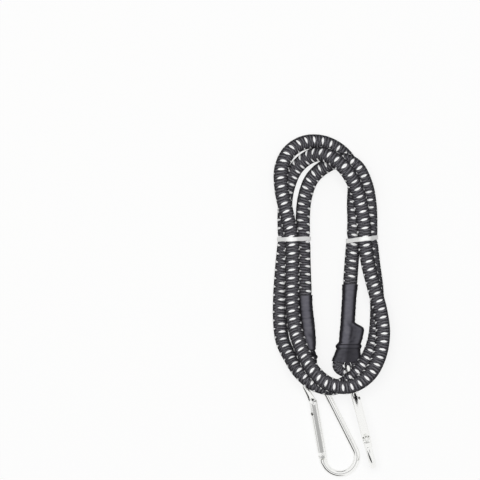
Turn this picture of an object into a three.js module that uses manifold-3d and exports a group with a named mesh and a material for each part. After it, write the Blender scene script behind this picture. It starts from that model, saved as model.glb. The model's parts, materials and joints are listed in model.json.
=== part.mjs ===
// A hanked bungee cord: one elastic cord folded into a flat bundle of three turns, an eye drawn
// through a spring-gate clip at each end, heat-shrink sleeves over the eyes and two ties at the waist.
// Millimetres. The hank lies on the floor, z = 0: +X right, +Y towards the crowns, +Z up.

import * as THREE from 'three';
import { mergeVertices } from 'three/addons/utils/BufferGeometryUtils.js';
import Module from 'manifold-3d';

const wasm = await Module();
wasm.setup();

// Driving dimensions
const CLEARANCE = 0.3;          // air between neighbouring pieces
const FLOOR_CLEARANCE = 0.05;   // air between a clip and the floor

const CORD_RADIUS = 3.6;        // braided cord at rest
const SHEATH_WALL = 1.0;
const CORE_CLEARANCE = 0.35;    // between the rubber core and the sheath
const EYE_CORD_RADIUS = 2.1;    // the cord drawn thin where it is pulled through an eye
const EYE_TAIL_WIDTH = 4.3;     // clip wire's centre to the middle of the cut tail's leg
const EYE_1_MAIN_WIDTH = 4.3;   // and to the main cord's leg, in the first eye
const EYE_2_MAIN_WIDTH = 5.5;   // and in the second, which is pulled wider on that side
const EYE_RUN = 42;             // thin cord from its cut end, round the eye, to the clamp ring
const TAPER_RUN = 9;            // thin cord to the cord squeezed in its sleeve
const GRIP_RADIUS = 2.95;       // the cord squeezed in its sleeve
const GRIP_RUN = 67;            // from its cut end to where it leaves its sleeve
const SWELL_RUN = 10;           // squeezed cord to full cord
const CORD_SIDES = 8;
const CORE_SIDES = 6;
const CORD_STEP = 6.5;          // longest step between two rings of the cord
const FINE_STEP = 1.0;          // step at which gaps and fits along the cord are measured
const NEIGHBOUR_RUN = 2.2;      // stretches nearer than this many cord widths along it are neighbours

const SLEEVE_WALL = 0.5;        // heat-shrink film
const SLEEVE_LENGTH = 37.5;     // from its mouth at the eye to its top
const SLEEVE_MOUTH = 2.8;       // mouth to the clip wire's centre
const SLEEVE_SIDES = 20;
const RING_SEAT = 9.2;          // clamp ring's middle to the clip wire's centre
const RING_WIDTH = 2.0;
const RING_THICKNESS = 0.4;

const TIE_WIDTH = 2.2;
const TIE_THICKNESS = 0.8;
const TIE_Y = 32.8;             // the hank's waist
const TIE_TILT = { left: 0.05, right: 0.07 };
const TIE_ARC_STEPS = 40;

const WIRE_RADIUS = 1.65;       // clip frame
const WIRE_SIDES = 10;
const WIRE_STEPS = 52;
const EYE_SLACK = 0.05;         // spare room for the eye in the clip's narrow end
const NARROW_RADIUS = WIRE_RADIUS + EYE_CORD_RADIUS + CLEARANCE + EYE_SLACK;  // middle of the wire there
const WIDE_RADIUS = 8.5;        // middle of the wire at the clip's wide end
const NARROW_STEPS = 16;
const WIDE_STEPS = 30;
const CLIP_LENGTH = 55;
const NOSE_TURN = 110;          // degrees the wide end turns past the clip's axis
const HINGE_REACH = 14.2;       // clip's narrow tip to the hinge pin
const GATE_RADIUS = 2.3;
const GATE_SIDES = 16;
const GATE_OPENING = 25;        // degrees
const GATE_END_GAP = 0.4;       // gate's end to the end of the frame's wire
const TONGUE_THICKNESS = 1.3;   // flattened ends of the frame
const TONGUE_RADIUS = 1.9;
const TONGUE_STEPS = 16;
const NOSE_WALL = 0.6;          // metal round the latch pin's hole
const NOSE_STEPS = 8;
const HEEL_STEPS = 12;          // gate's round heel
const PIN_RADIUS = 0.7;         // hinge pin
const PIN_SIDES = 12;
const LATCH_PIN_RADIUS = 0.6;
const LATCH_PIN_LENGTH = 3.8;
const LATCH_SETBACK = 2.6;      // latch pin behind the end of the frame's wire
const HINGE_SLOT = 4.2;         // depth past the hinge pin
const BORE_RUNOUT = 1.0;        // spring bore's start before the end of the hinge slot
const CRIMP_RADIUS = 0.8;       // hole in the gate's outer side, over the plunger's head
const PLUNGER_TRAVEL = 0.7;
const PLUNGER_TIP_RADIUS = 0.6;
const PLUNGER_HEAD_RADIUS = 1.0;
const PLUNGER_HEAD_LENGTH = 1.2;
const SPRING_LENGTH = 9.6;
const SPRING_WIRE_RADIUS = 0.2;
const SPRING_CURLS = 8;
const CURL_STEPS = 8;
const SPRING_SIDES = 5;

const EYE_1_WIRE = [-9.5, -35.7, 7.1];    // the clip wire's centre in the first eye
const EYE_2_WIRE = [8.15, -30.25];        // and in the second, whose clip stands on the floor

// Eyes: the clip wire's centre, the way the eye points, and the way from the cut tail to the main cord
const vec = (x, y, z) => new THREE.Vector3(x, y, z);
const EYES = [
  {
    wire: vec(...EYE_1_WIRE),
    along: vec(0.094, -1, 0).normalize(),
    across: vec(0, 0, 1),
    mainWidth: EYE_1_MAIN_WIDTH,
  },
  {
    wire: vec(...EYE_2_WIRE, NARROW_RADIUS + WIRE_RADIUS + FLOOR_CLEARANCE),
    along: vec(0, -1, 0),
    across: vec(-1, 0, 0),
    mainWidth: EYE_2_MAIN_WIDTH,
  },
];

// The cord's route, by strand, in the order in which the cord runs
const TAIL_1 = [[-11.2, -17.7, 3.3], [-10.8, -22, 3.7], [-10.35, -26.5, 4.7], [-9.95, -31.1, 3.3]];
const SLEEVE_1 = [
  [-9.95, -31.1, 10.9], [-10.35, -26.5, 9.5], [-10.8, -22, 9.1], [-11.25, -17.3, 9.1], [-11.8, -11.8, 8.4],
  [-12.5, -5.8, 6.6], [-13, 0.2, 5.2],
];
const INNER_CROWN = [
  [-13.4, 9.5, 4.2], [-13.8, 21, 3.3], [-14, 32.8, 4.8], [-14.2, 43, 3.6], [-13.2, 53.5, 3.2],
  [-9.7, 63, 3.9], [-3, 69.2, 6.3], [6, 72.3, 10.5],
];
const OUTER_RIGHT = [
  [12.5, 69.1, 10.8], [17.1, 60.6, 8.7], [19.3, 49.5, 5.8], [19.8, 32.8, 4.8], [21, 21, 3.6],
  [22.7, 8, 3.2], [23.1, -5, 4.4], [21.6, -18, 8.4], [17.5, -27.6, 12.9],
];
const BACK_BOTTOM = [[10.6, -36.2, 16], [1.3, -41.4, 16.3], [-8.4, -39.6, 18], [-15.6, -33.8, 15.5]];
const OUTER_LEFT = [
  [-20.2, -26.8, 9.4], [-24.2, -18.6, 5.2], [-25.6, -8, 3.3], [-25.5, 5, 2.9], [-24.6, 18, 3.3],
  [-23.3, 32.8, 4.8], [-23.3, 46, 3.1], [-21.9, 58, 3],
];
const MIDDLE_CROWN = [[-17.6, 68.2, 4.6], [-10, 74.4, 9.2], [-2.7, 74.8, 14.9], [5.7, 69, 18.3]];
const FRONT_RIGHT = [
  [11, 61.2, 15.8], [14.3, 51.8, 13], [16.2, 40.4, 12.3], [16.7, 32.8, 12.2], [18.2, 21.4, 11.6],
  [21.4, 8.4, 12], [24.5, -3.6, 13.4], [25.7, -14.6, 15.2], [23.6, -26, 18.4],
];
const FRONT_BOTTOM = [[18.2, -35.2, 21.8], [9.3, -40.4, 24], [-0.5, -39.6, 24.8]];
const FRONT_LEFT = [
  [-8.2, -34, 24.2], [-14.2, -24, 19.3], [-18.2, -12, 14.8], [-19.7, 0.8, 12.6], [-19.6, 16.8, 11.6],
  [-19.8, 32.8, 11.8], [-22.2, 45, 11], [-24.8, 57.2, 10.2],
];
const OUTER_CROWN = [
  [-25, 68, 8.4], [-21, 76.5, 5.4], [-13.4, 81.2, 3.2], [-4.6, 81.4, 2.9], [3.6, 77.7, 2.9],
];
const INNER_RIGHT = [
  [9.3, 71.4, 2.9], [11.7, 61.6, 2.9], [11.5, 50, 2.9], [11.7, 41, 3.7], [11.2, 32.8, 4.8], [10.2, 20, 3.7],
];
const SLEEVE_2 = [
  [9.5, 10, 4.6], [9, 2.5, 4.6], [8.5, -5.6, 4.6], [8.1, -11.6, 4.8], [7.4, -16.6, 5.3], [6.3, -21.1, 5.7],
  [4.3, -25.4, 5.8],
];
const TAIL_2 = [[12.2, -25.6, 5.8], [11.5, -21.1, 5.7], [13, -16.6, 5.3], [13.9, -12.15, 5.1]];

// Geometry helpers

function solidOf(geometry) {
  const bare = geometry.clone();
  bare.deleteAttribute('normal');
  bare.deleteAttribute('uv');
  const merged = mergeVertices(bare, 1e-4);
  const mesh = new wasm.Mesh({
    numProp: 3,
    vertProperties: new Float32Array(merged.attributes.position.array),
    triVerts: new Uint32Array(merged.index.array),
  });
  return new wasm.Manifold(mesh);
}

function geometryOf(solid) {
  const mesh = solid.getMesh();
  const geometry = new THREE.BufferGeometry();
  geometry.setAttribute('position', new THREE.BufferAttribute(mesh.vertProperties, 3));
  geometry.setIndex(new THREE.BufferAttribute(mesh.triVerts, 1));
  geometry.computeVertexNormals();
  return geometry;
}

// Skin over loops of equally many points; the loops either close into a ring or end in two flat caps
function loft(loops, closed) {
  const sides = loops[0].length;
  const positions = loops.flat().flatMap((p) => p.toArray());
  const faces = [];
  const spans = closed ? loops.length : loops.length - 1;
  for (let i = 0; i < spans; i++) {
    const from = i * sides;
    const to = ((i + 1) % loops.length) * sides;
    for (let k = 0; k < sides; k++) {
      const next = (k + 1) % sides;
      faces.push(from + k, from + next, to + next, from + k, to + next, to + k);
    }
  }
  if (!closed) {
    const last = (loops.length - 1) * sides;
    for (let k = 1; k < sides - 1; k++) {
      faces.push(0, k + 1, k, last, last + k, last + k + 1);
    }
  }
  const geometry = new THREE.BufferGeometry();
  geometry.setAttribute('position', new THREE.Float32BufferAttribute(positions, 3));
  geometry.setIndex(faces);
  return geometry;
}

// Rings square to a path, with a frame carried along it without twist
function ringsAlong(path, radii, sides) {
  let normal = vec(0, 0, 1);
  return path.map((point, i) => {
    const before = path[Math.max(i - 1, 0)];
    const after = path[Math.min(i + 1, path.length - 1)];
    const tangent = after.clone().sub(before).normalize();
    normal = normal.clone().addScaledVector(tangent, -normal.dot(tangent)).normalize();
    const side = tangent.clone().cross(normal);
    return Array.from({ length: sides }, (_, k) => {
      const turn = ((k + 0.5) / sides) * 2 * Math.PI;
      return point.clone()
        .addScaledVector(normal, radii[i] * Math.cos(turn))
        .addScaledVector(side, radii[i] * Math.sin(turn));
    });
  });
}

// Band outline drawn tight round circles: the circle that reaches furthest each way sets the outline
function outlineRound(circles, offset, steps) {
  return Array.from({ length: steps }, (_, k) => {
    const turn = (k / steps) * 2 * Math.PI;
    const way = new THREE.Vector2(Math.cos(turn), Math.sin(turn));
    const reach = (c) => c.centre.dot(way) + c.radius;
    const furthest = circles.reduce((a, b) => (reach(b) > reach(a) ? b : a));
    return furthest.centre.clone().addScaledVector(way, furthest.radius + offset);
  });
}

function bandGeometry(circles, clearance, thickness, width, steps) {
  const shape = new THREE.Shape(outlineRound(circles, clearance + thickness, steps));
  shape.holes.push(new THREE.Path(outlineRound(circles, clearance, steps)));
  const band = new THREE.ExtrudeGeometry(shape, { depth: width, bevelEnabled: false });
  return band.translate(0, 0, -width / 2);
}

function plate(outline, thickness) {
  const shape = new THREE.Shape(outline);
  const geometry = new THREE.ExtrudeGeometry(shape, { depth: thickness, bevelEnabled: false });
  return geometry.translate(0, 0, -thickness / 2);
}

function block(from, to) {
  const size = to.clone().sub(from);
  const middle = from.clone().add(to).multiplyScalar(0.5);
  return new THREE.BoxGeometry(size.x, size.y, size.z).translate(middle.x, middle.y, middle.z);
}

function rodAlongX(radius, from, to, sides) {
  return new THREE.CylinderGeometry(radius, radius, to - from, sides)
    .rotateZ(-Math.PI / 2)
    .translate((from + to) / 2, 0, 0);
}

function rodAlongZ(radius, length, sides) {
  return new THREE.CylinderGeometry(radius, radius, length, sides).rotateX(Math.PI / 2);
}

function arcPoints(centre, radius, fromDegrees, toDegrees, steps) {
  return Array.from({ length: steps + 1 }, (_, k) => {
    const turn = THREE.MathUtils.degToRad(fromDegrees + ((toDegrees - fromDegrees) * k) / steps);
    return new THREE.Vector2(centre.x + radius * Math.cos(turn), centre.y + radius * Math.sin(turn));
  });
}

// Materials

const finish = (color, roughness, metalness) => (
  new THREE.MeshStandardMaterial({ color, roughness, metalness })
);
const RUBBER = finish('#c9b48a', 0.8, 0);
const BRAID = finish('#2d2c2f', 0.75, 0);
const FILM = finish('#47464a', 0.45, 0);
const PLATED_STEEL = finish('#d5d6d8', 0.22, 1);
const SPRING_STEEL = finish('#8f9296', 0.35, 1);
const TIE_PLASTIC = finish('#f0f0ee', 0.5, 0);

const bungeeCord = new THREE.Group();

function addPiece(parent, name, geometry, material) {
  const mesh = new THREE.Mesh(geometry, material);
  mesh.name = name;
  parent.add(mesh);
  return mesh;
}

// Cord: rubber core in a braided sheath

// Half an eye round the clip wire, from the tail's leg to the main cord's leg
function eyeLoop(eye) {
  const reach = WIRE_RADIUS + EYE_CORD_RADIUS + CLEARANCE;
  return [-90, -60, -30, 0, 30, 60, 90].map((degrees) => {
    const turn = THREE.MathUtils.degToRad(degrees);
    const halfWidth = degrees < 0 ? EYE_TAIL_WIDTH : eye.mainWidth;
    return eye.wire.clone()
      .addScaledVector(eye.along, reach * Math.cos(turn))
      .addScaledVector(eye.across, halfWidth * Math.sin(turn));
  });
}

const toPoints = (rows) => rows.map((row) => vec(...row));
const hankRows = [
  INNER_CROWN, OUTER_RIGHT, BACK_BOTTOM, OUTER_LEFT, MIDDLE_CROWN, FRONT_RIGHT, FRONT_BOTTOM, FRONT_LEFT,
  OUTER_CROWN, INNER_RIGHT,
].flat();
const routePoints = [
  ...toPoints(TAIL_1), ...eyeLoop(EYES[0]), ...toPoints(SLEEVE_1), ...toPoints(hankRows),
  ...toPoints(SLEEVE_2), ...eyeLoop(EYES[1]).reverse(), ...toPoints(TAIL_2),
];
const route = new THREE.CatmullRomCurve3(routePoints, false, 'centripetal');

function samplesAlong(longestStep) {
  const spans = routePoints.length - 1;
  const path = [];
  for (let i = 0; i < spans; i++) {
    const length = routePoints[i].distanceTo(routePoints[i + 1]);
    const steps = Math.ceil(length / longestStep);
    for (let k = 0; k < steps; k++) {
      path.push(route.getPoint((i + k / steps) / spans));
    }
  }
  path.push(routePoints[spans].clone());
  return path;
}

function runsOf(path) {
  const runs = [0];
  for (let i = 1; i < path.length; i++) {
    runs.push(runs[i - 1] + path[i].distanceTo(path[i - 1]));
  }
  return runs;
}

// Thin in the eyes and tails, squeezed in the sleeves and full size everywhere else
function radiiOf(path) {
  const runs = runsOf(path);
  const total = runs[runs.length - 1];
  return runs.map((run) => {
    const fromEnd = Math.min(run, total - run);
    const taper = THREE.MathUtils.smoothstep(fromEnd, EYE_RUN, EYE_RUN + TAPER_RUN);
    const swell = THREE.MathUtils.smoothstep(fromEnd, GRIP_RUN, GRIP_RUN + SWELL_RUN);
    const sleeved = THREE.MathUtils.lerp(EYE_CORD_RADIUS, GRIP_RADIUS, taper);
    return THREE.MathUtils.lerp(sleeved, CORD_RADIUS, swell);
  });
}

// Least air between two stretches of the cord that aren't neighbours along it
function leastGap(path, radii) {
  const runs = runsOf(path);
  let least = Infinity;
  for (let i = 0; i < path.length; i++) {
    for (let j = i + 1; j < path.length; j++) {
      const reach = radii[i] + radii[j];
      if (runs[j] - runs[i] > NEIGHBOUR_RUN * reach) {
        least = Math.min(least, path[i].distanceTo(path[j]) - reach);
      }
    }
  }
  return least;
}

const cordPath = samplesAlong(CORD_STEP);
const cordRadii = radiiOf(cordPath);
const finePath = samplesAlong(FINE_STEP);
const fineRadii = radiiOf(finePath);
const cordLength = runsOf(finePath).pop();
const cordGap = leastGap(finePath, fineRadii);
console.log(`cord length ${cordLength.toFixed(1)} mm, least gap ${cordGap.toFixed(2)} mm`);

const wallShare = 1 - SHEATH_WALL / CORD_RADIUS;
const sheathOuter = ringsAlong(cordPath, cordRadii, CORD_SIDES);
const sheathInner = ringsAlong(cordPath, cordRadii.map((r) => r * wallShare), CORD_SIDES);
const coreRings = ringsAlong(cordPath, cordRadii.map((r) => r * wallShare - CORE_CLEARANCE), CORE_SIDES);
const wholeSheath = solidOf(loft([...sheathOuter, ...sheathInner.reverse()], true));
const underFloor = new THREE.Box3().setFromPoints(cordPath).expandByScalar(2 * CORD_RADIUS);
underFloor.max.z = 0;
const sheath = wholeSheath.subtract(solidOf(block(underFloor.min, underFloor.max)));
addPiece(bungeeCord, 'rubber_core', loft(coreRings, false), RUBBER);
addPiece(bungeeCord, 'braided_sheath', geometryOf(sheath), BRAID);

// Sleeves and clamp rings over the eyes

const SLEEVE_REACH = 2.5 * CORD_RADIUS;   // furthest that a leg lies from the middle of its sleeve
const sideOf = (eye) => eye.along.clone().cross(vec(0, 0, 1));
const cutEnd = (eye) => (eye === EYES[0] ? routePoints[0] : routePoints[routePoints.length - 1]);
const tailLength = (eye) => eye.wire.clone().sub(cutEnd(eye)).dot(eye.along);

// The cord's main leg and cut tail where they cross a plane square to an eye, as circles in that plane
function legsAt(eye, distance) {
  const side = sideOf(eye);
  const circles = [];
  for (let i = 1; i < finePath.length; i++) {
    const ahead = finePath[i].clone().sub(eye.wire).dot(eye.along) + distance;
    const behind = finePath[i - 1].clone().sub(eye.wire).dot(eye.along) + distance;
    const offset = finePath[i].clone().sub(eye.wire);
    const near = Math.hypot(offset.dot(side), offset.z) < SLEEVE_REACH;
    const ownEnd = (i < finePath.length / 2) === (eye === EYES[0]);
    if (near && ownEnd && ahead * behind <= 0 && ahead !== behind) {
      const share = behind / (behind - ahead);
      const point = finePath[i - 1].clone().lerp(finePath[i], share).sub(eye.wire);
      const centre = new THREE.Vector2(point.dot(side), point.z);
      const slant = finePath[i].distanceTo(finePath[i - 1]) / Math.abs(ahead - behind);
      circles.push({ centre, radius: fineRadii[i] * slant });
    }
  }
  return circles;
}

const ringLegs = (eye) => [-0.5, 0.5].flatMap((share) => legsAt(eye, RING_SEAT + share * RING_WIDTH));

function sleeveLoops(eye, extra) {
  const side = sideOf(eye);
  const ringHalf = RING_WIDTH / 2 + CLEARANCE;
  const top = SLEEVE_MOUTH + SLEEVE_LENGTH;
  const ringOffset = RING_THICKNESS + CLEARANCE;
  const tail = tailLength(eye);
  const tailEnd = tail - CLEARANCE;
  const shoulder = tail + CORD_RADIUS;
  const between = (from, to, shares) => (
    shares.map((share) => ({ at: THREE.MathUtils.lerp(from, to, share), offset: 0 }))
  );
  const stations = [
    ...between(SLEEVE_MOUTH, RING_SEAT - ringHalf - CLEARANCE, [0, 0.3, 0.65, 1]),
    { at: RING_SEAT - ringHalf, offset: ringOffset },
    { at: RING_SEAT + ringHalf, offset: ringOffset },
    ...between(RING_SEAT + ringHalf + CLEARANCE, tailEnd, [0, 0.35, 0.7, 1]),
    ...between(shoulder, top, [0, 0.2, 0.4, 0.6, 0.8, 1]),
  ];
  return stations.map(({ at, offset }) => {
    const circles = offset ? ringLegs(eye) : legsAt(eye, at);
    const outline = outlineRound(circles, CLEARANCE + offset + extra, SLEEVE_SIDES);
    const place = at === tailEnd ? tail + CLEARANCE : at;
    return outline.map((p) => eye.wire.clone()
      .addScaledVector(eye.along, -place)
      .addScaledVector(side, p.x)
      .add(vec(0, 0, p.y)));
  });
}

EYES.forEach((eye, i) => {
  const outer = sleeveLoops(eye, SLEEVE_WALL);
  const inner = sleeveLoops(eye, 0);
  addPiece(bungeeCord, `shrink_sleeve_${i + 1}`, loft([...outer, ...inner.reverse()], true), FILM);

  const ring = bandGeometry(ringLegs(eye), CLEARANCE, RING_THICKNESS, RING_WIDTH, SLEEVE_SIDES);
  const side = sideOf(eye);
  const seat = eye.wire.clone().addScaledVector(eye.along, -RING_SEAT);
  const piece = addPiece(bungeeCord, `clamp_ring_${i + 1}`, ring, PLATED_STEEL);
  const basis = new THREE.Matrix4().makeBasis(side, vec(0, 0, 1), side.clone().cross(vec(0, 0, 1)));
  piece.quaternion.setFromRotationMatrix(basis);
  piece.position.copy(seat);
});

// Ties round the three strands at either side of the waist
function strandsAt(y, sign) {
  const circles = [];
  for (let i = 1; i < finePath.length; i++) {
    const [a, b] = [finePath[i - 1], finePath[i]];
    if ((a.y - y) * (b.y - y) <= 0 && a.x * sign > 0 && a.y !== b.y) {
      const point = a.clone().lerp(b, (y - a.y) / (b.y - a.y));
      circles.push({ centre: new THREE.Vector2(point.x, point.z), radius: fineRadii[i] });
    }
  }
  return circles;
}

for (const [name, sign] of [['left', -1], ['right', 1]]) {
  const circles = strandsAt(TIE_Y, sign);
  const middle = circles.reduce((sum, c) => sum + c.centre.x, 0) / circles.length;
  for (const circle of circles) {
    circle.centre.x -= middle;
  }
  const band = bandGeometry(circles, CLEARANCE, TIE_THICKNESS, TIE_WIDTH, TIE_ARC_STEPS).rotateX(Math.PI / 2);
  const tie = addPiece(bungeeCord, `tie_${name}`, band, TIE_PLASTIC);
  tie.position.set(middle, TIE_Y, 0);
  tie.rotation.z = TIE_TILT[name];
}

// Clips: x from the narrow tip to the wide end, y from the spine to the gate, z square to the clip

const narrowCentre = new THREE.Vector2(WIRE_RADIUS + NARROW_RADIUS, NARROW_RADIUS);
const wideCentre = new THREE.Vector2(CLIP_LENGTH - WIRE_RADIUS - WIDE_RADIUS, WIDE_RADIUS);
const hinge = new THREE.Vector2(HINGE_REACH, 2 * NARROW_RADIUS);
const noseTip = arcPoints(wideCentre, WIDE_RADIUS, NOSE_TURN, NOSE_TURN, 1)[0];
const gateAngle = noseTip.clone().sub(hinge).angle();
const gateReach = noseTip.distanceTo(hinge);
const latchReach = gateReach - LATCH_SETBACK;
const gateEnd = gateReach - GATE_END_GAP;
const noseRadius = LATCH_PIN_RADIUS + CLEARANCE + NOSE_WALL;
const slotHalf = TONGUE_THICKNESS / 2 + CLEARANCE;
const plungerTip = TONGUE_RADIUS + CLEARANCE;
const plungerHead = HINGE_SLOT + CLEARANCE + PLUNGER_TRAVEL / 2;
const springStart = plungerHead + PLUNGER_HEAD_LENGTH + CLEARANCE;
const boreEnd = springStart + SPRING_LENGTH + CLEARANCE;
const boreRadius = PLUNGER_HEAD_RADIUS + CLEARANCE;

class WirePath extends THREE.Curve {
  // Hinge end, round the narrow end, along the spine and round the wide end to the nose
  constructor() {
    super();
    const wireEnd = new THREE.Vector2(HINGE_REACH - GATE_RADIUS - 2 * CLEARANCE, hinge.y);
    this.corners = [
      wireEnd,
      ...arcPoints(narrowCentre, NARROW_RADIUS, 90, 270, NARROW_STEPS),
      ...arcPoints(wideCentre, WIDE_RADIUS, -90, NOSE_TURN, WIDE_STEPS),
    ];
    this.runs = [0];
    for (let i = 1; i < this.corners.length; i++) {
      this.runs.push(this.runs[i - 1] + this.corners[i].distanceTo(this.corners[i - 1]));
    }
  }

  getPoint(t, target = vec(0, 0, 0)) {
    const run = t * this.runs[this.runs.length - 1];
    const found = this.runs.findIndex((r) => r >= run);
    const i = Math.max(found < 0 ? this.runs.length - 1 : found, 1);
    const share = (run - this.runs[i - 1]) / (this.runs[i] - this.runs[i - 1]);
    const point = this.corners[i - 1].clone().lerp(this.corners[i], share);
    return target.set(point.x, point.y, 0);
  }
}

function frameGeometry() {
  const circle = arcPoints(new THREE.Vector2(), WIRE_RADIUS, 0, 360, WIRE_SIDES);
  const section = new THREE.Shape(circle.slice(0, -1));
  const wire = new THREE.ExtrudeGeometry(section, { steps: WIRE_STEPS, extrudePath: new WirePath() });

  // Hinge tongue: round the pin, with a lobe on the inner side that pushes the plunger as the gate opens
  const lobeStart = THREE.MathUtils.radToDeg(gateAngle - Math.atan2(PLUNGER_TIP_RADIUS, TONGUE_RADIUS));
  const tongueEnd = Array.from({ length: TONGUE_STEPS + 1 }, (_, k) => {
    const degrees = 90 - (180 * k) / TONGUE_STEPS;
    const rise = THREE.MathUtils.clamp((lobeStart - degrees) / GATE_OPENING, 0, 1);
    const fall = THREE.MathUtils.clamp((degrees + 90) / GATE_OPENING, 0, 1);
    const radius = TONGUE_RADIUS + PLUNGER_TRAVEL * Math.min(rise, fall);
    return arcPoints(hinge, radius, degrees, degrees, 1)[0];
  });
  const tongueBack = HINGE_REACH - GATE_RADIUS - WIRE_RADIUS - 3 * CLEARANCE;
  const hingeTongue = plate([
    new THREE.Vector2(tongueBack, hinge.y - WIRE_RADIUS / 2),
    new THREE.Vector2(tongueBack, hinge.y + WIRE_RADIUS / 2),
    ...tongueEnd,
  ], TONGUE_THICKNESS);
  const pinHole = rodAlongZ(PIN_RADIUS + CLEARANCE, 4 * GATE_RADIUS, GATE_SIDES)
    .translate(hinge.x, hinge.y, 0);

  // Nose tongue: reaches into the gate's end and holds the latch pin
  const noseTongue = plate([
    ...arcPoints(new THREE.Vector2(latchReach, 0), noseRadius, 90, 270, NOSE_STEPS),
    new THREE.Vector2(gateReach + WIRE_RADIUS, -noseRadius / 2),
    new THREE.Vector2(gateReach + WIRE_RADIUS, noseRadius / 2),
  ], TONGUE_THICKNESS);
  const latchHole = rodAlongZ(LATCH_PIN_RADIUS + CLEARANCE, 4 * GATE_RADIUS, GATE_SIDES)
    .translate(latchReach, 0, 0);
  const nose = solidOf(noseTongue).subtract(solidOf(latchHole));
  const placedNose = solidOf(geometryOf(nose).rotateZ(gateAngle).translate(hinge.x, hinge.y, 0));

  const frame = solidOf(wire).add(solidOf(hingeTongue)).subtract(solidOf(pinHole)).add(placedNose);
  return geometryOf(frame);
}

// Gate along x from the hinge pin, y outwards
function gateGeometry() {
  const bar = rodAlongX(GATE_RADIUS, -2 * GATE_RADIUS, gateEnd, GATE_SIDES);
  const outline = plate([
    ...arcPoints(new THREE.Vector2(), GATE_RADIUS, 90, 270, HEEL_STEPS),
    new THREE.Vector2(gateEnd + GATE_RADIUS, -GATE_RADIUS),
    new THREE.Vector2(gateEnd + GATE_RADIUS, GATE_RADIUS),
  ], 4 * GATE_RADIUS);
  const hingeSlot = block(
    vec(-2 * GATE_RADIUS, -2 * GATE_RADIUS, -slotHalf),
    vec(HINGE_SLOT, 2 * GATE_RADIUS, slotHalf),
  );
  const noseSlotStart = latchReach - noseRadius - 2 * CLEARANCE;
  const noseSlot = block(
    vec(noseSlotStart, -2 * GATE_RADIUS, -slotHalf),
    vec(gateEnd + GATE_RADIUS, 2 * GATE_RADIUS, slotHalf),
  );
  const notchHalf = LATCH_PIN_RADIUS + CLEARANCE;
  const notch = block(
    vec(latchReach - notchHalf, -notchHalf, -2 * GATE_RADIUS),
    vec(latchReach + notchHalf, 2 * GATE_RADIUS, 2 * GATE_RADIUS),
  );
  const pinBore = rodAlongZ(PIN_RADIUS + CLEARANCE, 4 * GATE_RADIUS, GATE_SIDES);
  const springBore = rodAlongX(boreRadius, HINGE_SLOT - BORE_RUNOUT, boreEnd, GATE_SIDES);
  const crimpHole = new THREE.CylinderGeometry(CRIMP_RADIUS, CRIMP_RADIUS, 2 * GATE_RADIUS, PIN_SIDES)
    .translate(plungerHead + PLUNGER_HEAD_LENGTH / 2, GATE_RADIUS, 0);
  const cuts = [hingeSlot, noseSlot, notch, pinBore, springBore, crimpHole];
  const shaped = solidOf(bar).intersect(solidOf(outline));
  return geometryOf(cuts.reduce((solid, cut) => solid.subtract(solidOf(cut)), shaped));
}

function plungerGeometry() {
  const profile = [
    [0, plungerTip], [PLUNGER_TIP_RADIUS, plungerTip], [PLUNGER_TIP_RADIUS, plungerHead],
    [PLUNGER_HEAD_RADIUS, plungerHead], [PLUNGER_HEAD_RADIUS, plungerHead + PLUNGER_HEAD_LENGTH],
    [0, plungerHead + PLUNGER_HEAD_LENGTH],
  ].map(([r, x]) => new THREE.Vector2(r, x));
  return new THREE.LatheGeometry(profile, PIN_SIDES).rotateZ(-Math.PI / 2);
}

function springGeometry() {
  const coilRadius = PLUNGER_HEAD_RADIUS - SPRING_WIRE_RADIUS;
  const lead = 2 * SPRING_WIRE_RADIUS;
  const rise = SPRING_LENGTH - 2 * lead;
  const steps = SPRING_CURLS * CURL_STEPS;
  const path = Array.from({ length: steps + 1 }, (_, k) => {
    const turn = (k / CURL_STEPS) * 2 * Math.PI;
    const x = springStart + lead + (rise * k) / steps;
    return vec(x, coilRadius * Math.cos(turn), coilRadius * Math.sin(turn));
  });
  path.unshift(path[0].clone().sub(vec(lead, 0, 0)));
  path.push(path[path.length - 1].clone().add(vec(lead, 0, 0)));
  console.log(`spring least gap ${(rise / SPRING_CURLS - 2 * SPRING_WIRE_RADIUS).toFixed(2)} mm`);
  return loft(ringsAlong(path, path.map(() => SPRING_WIRE_RADIUS), SPRING_SIDES), false);
}

function buildClip(name) {
  const clip = new THREE.Group();
  addPiece(clip, `${name}_frame`, frameGeometry(), PLATED_STEEL);
  const gateSide = new THREE.Group();
  gateSide.position.set(hinge.x, hinge.y, 0);
  gateSide.rotation.z = gateAngle;
  clip.add(gateSide);
  addPiece(gateSide, `${name}_gate`, gateGeometry(), PLATED_STEEL);
  addPiece(gateSide, `${name}_hinge_pin`, rodAlongZ(PIN_RADIUS, 2 * GATE_RADIUS, PIN_SIDES), PLATED_STEEL);
  const latchRod = rodAlongZ(LATCH_PIN_RADIUS, LATCH_PIN_LENGTH, PIN_SIDES);
  const latchPin = addPiece(gateSide, `${name}_latch_pin`, latchRod, PLATED_STEEL);
  latchPin.position.x = latchReach;
  addPiece(gateSide, `${name}_plunger`, plungerGeometry(), SPRING_STEEL);
  addPiece(gateSide, `${name}_gate_spring`, springGeometry(), SPRING_STEEL);
  bungeeCord.add(clip);
  return clip;
}

// Turn a clip to its axis and gate side, with the narrow end's centre one wire bend from the eye
function placeClip(clip, eye, axis, gateSide, pull, tilt) {
  const basis = new THREE.Matrix4().makeBasis(axis, gateSide, axis.clone().cross(gateSide));
  const turn = new THREE.Quaternion().setFromRotationMatrix(basis);
  const bend = vec(narrowCentre.x, narrowCentre.y, 0).applyQuaternion(turn);
  const offset = pull.clone().multiplyScalar(NARROW_RADIUS).sub(bend);
  clip.quaternion.copy(turn).premultiply(tilt);
  clip.position.copy(offset.applyQuaternion(tilt)).add(eye.wire);
}

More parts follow.
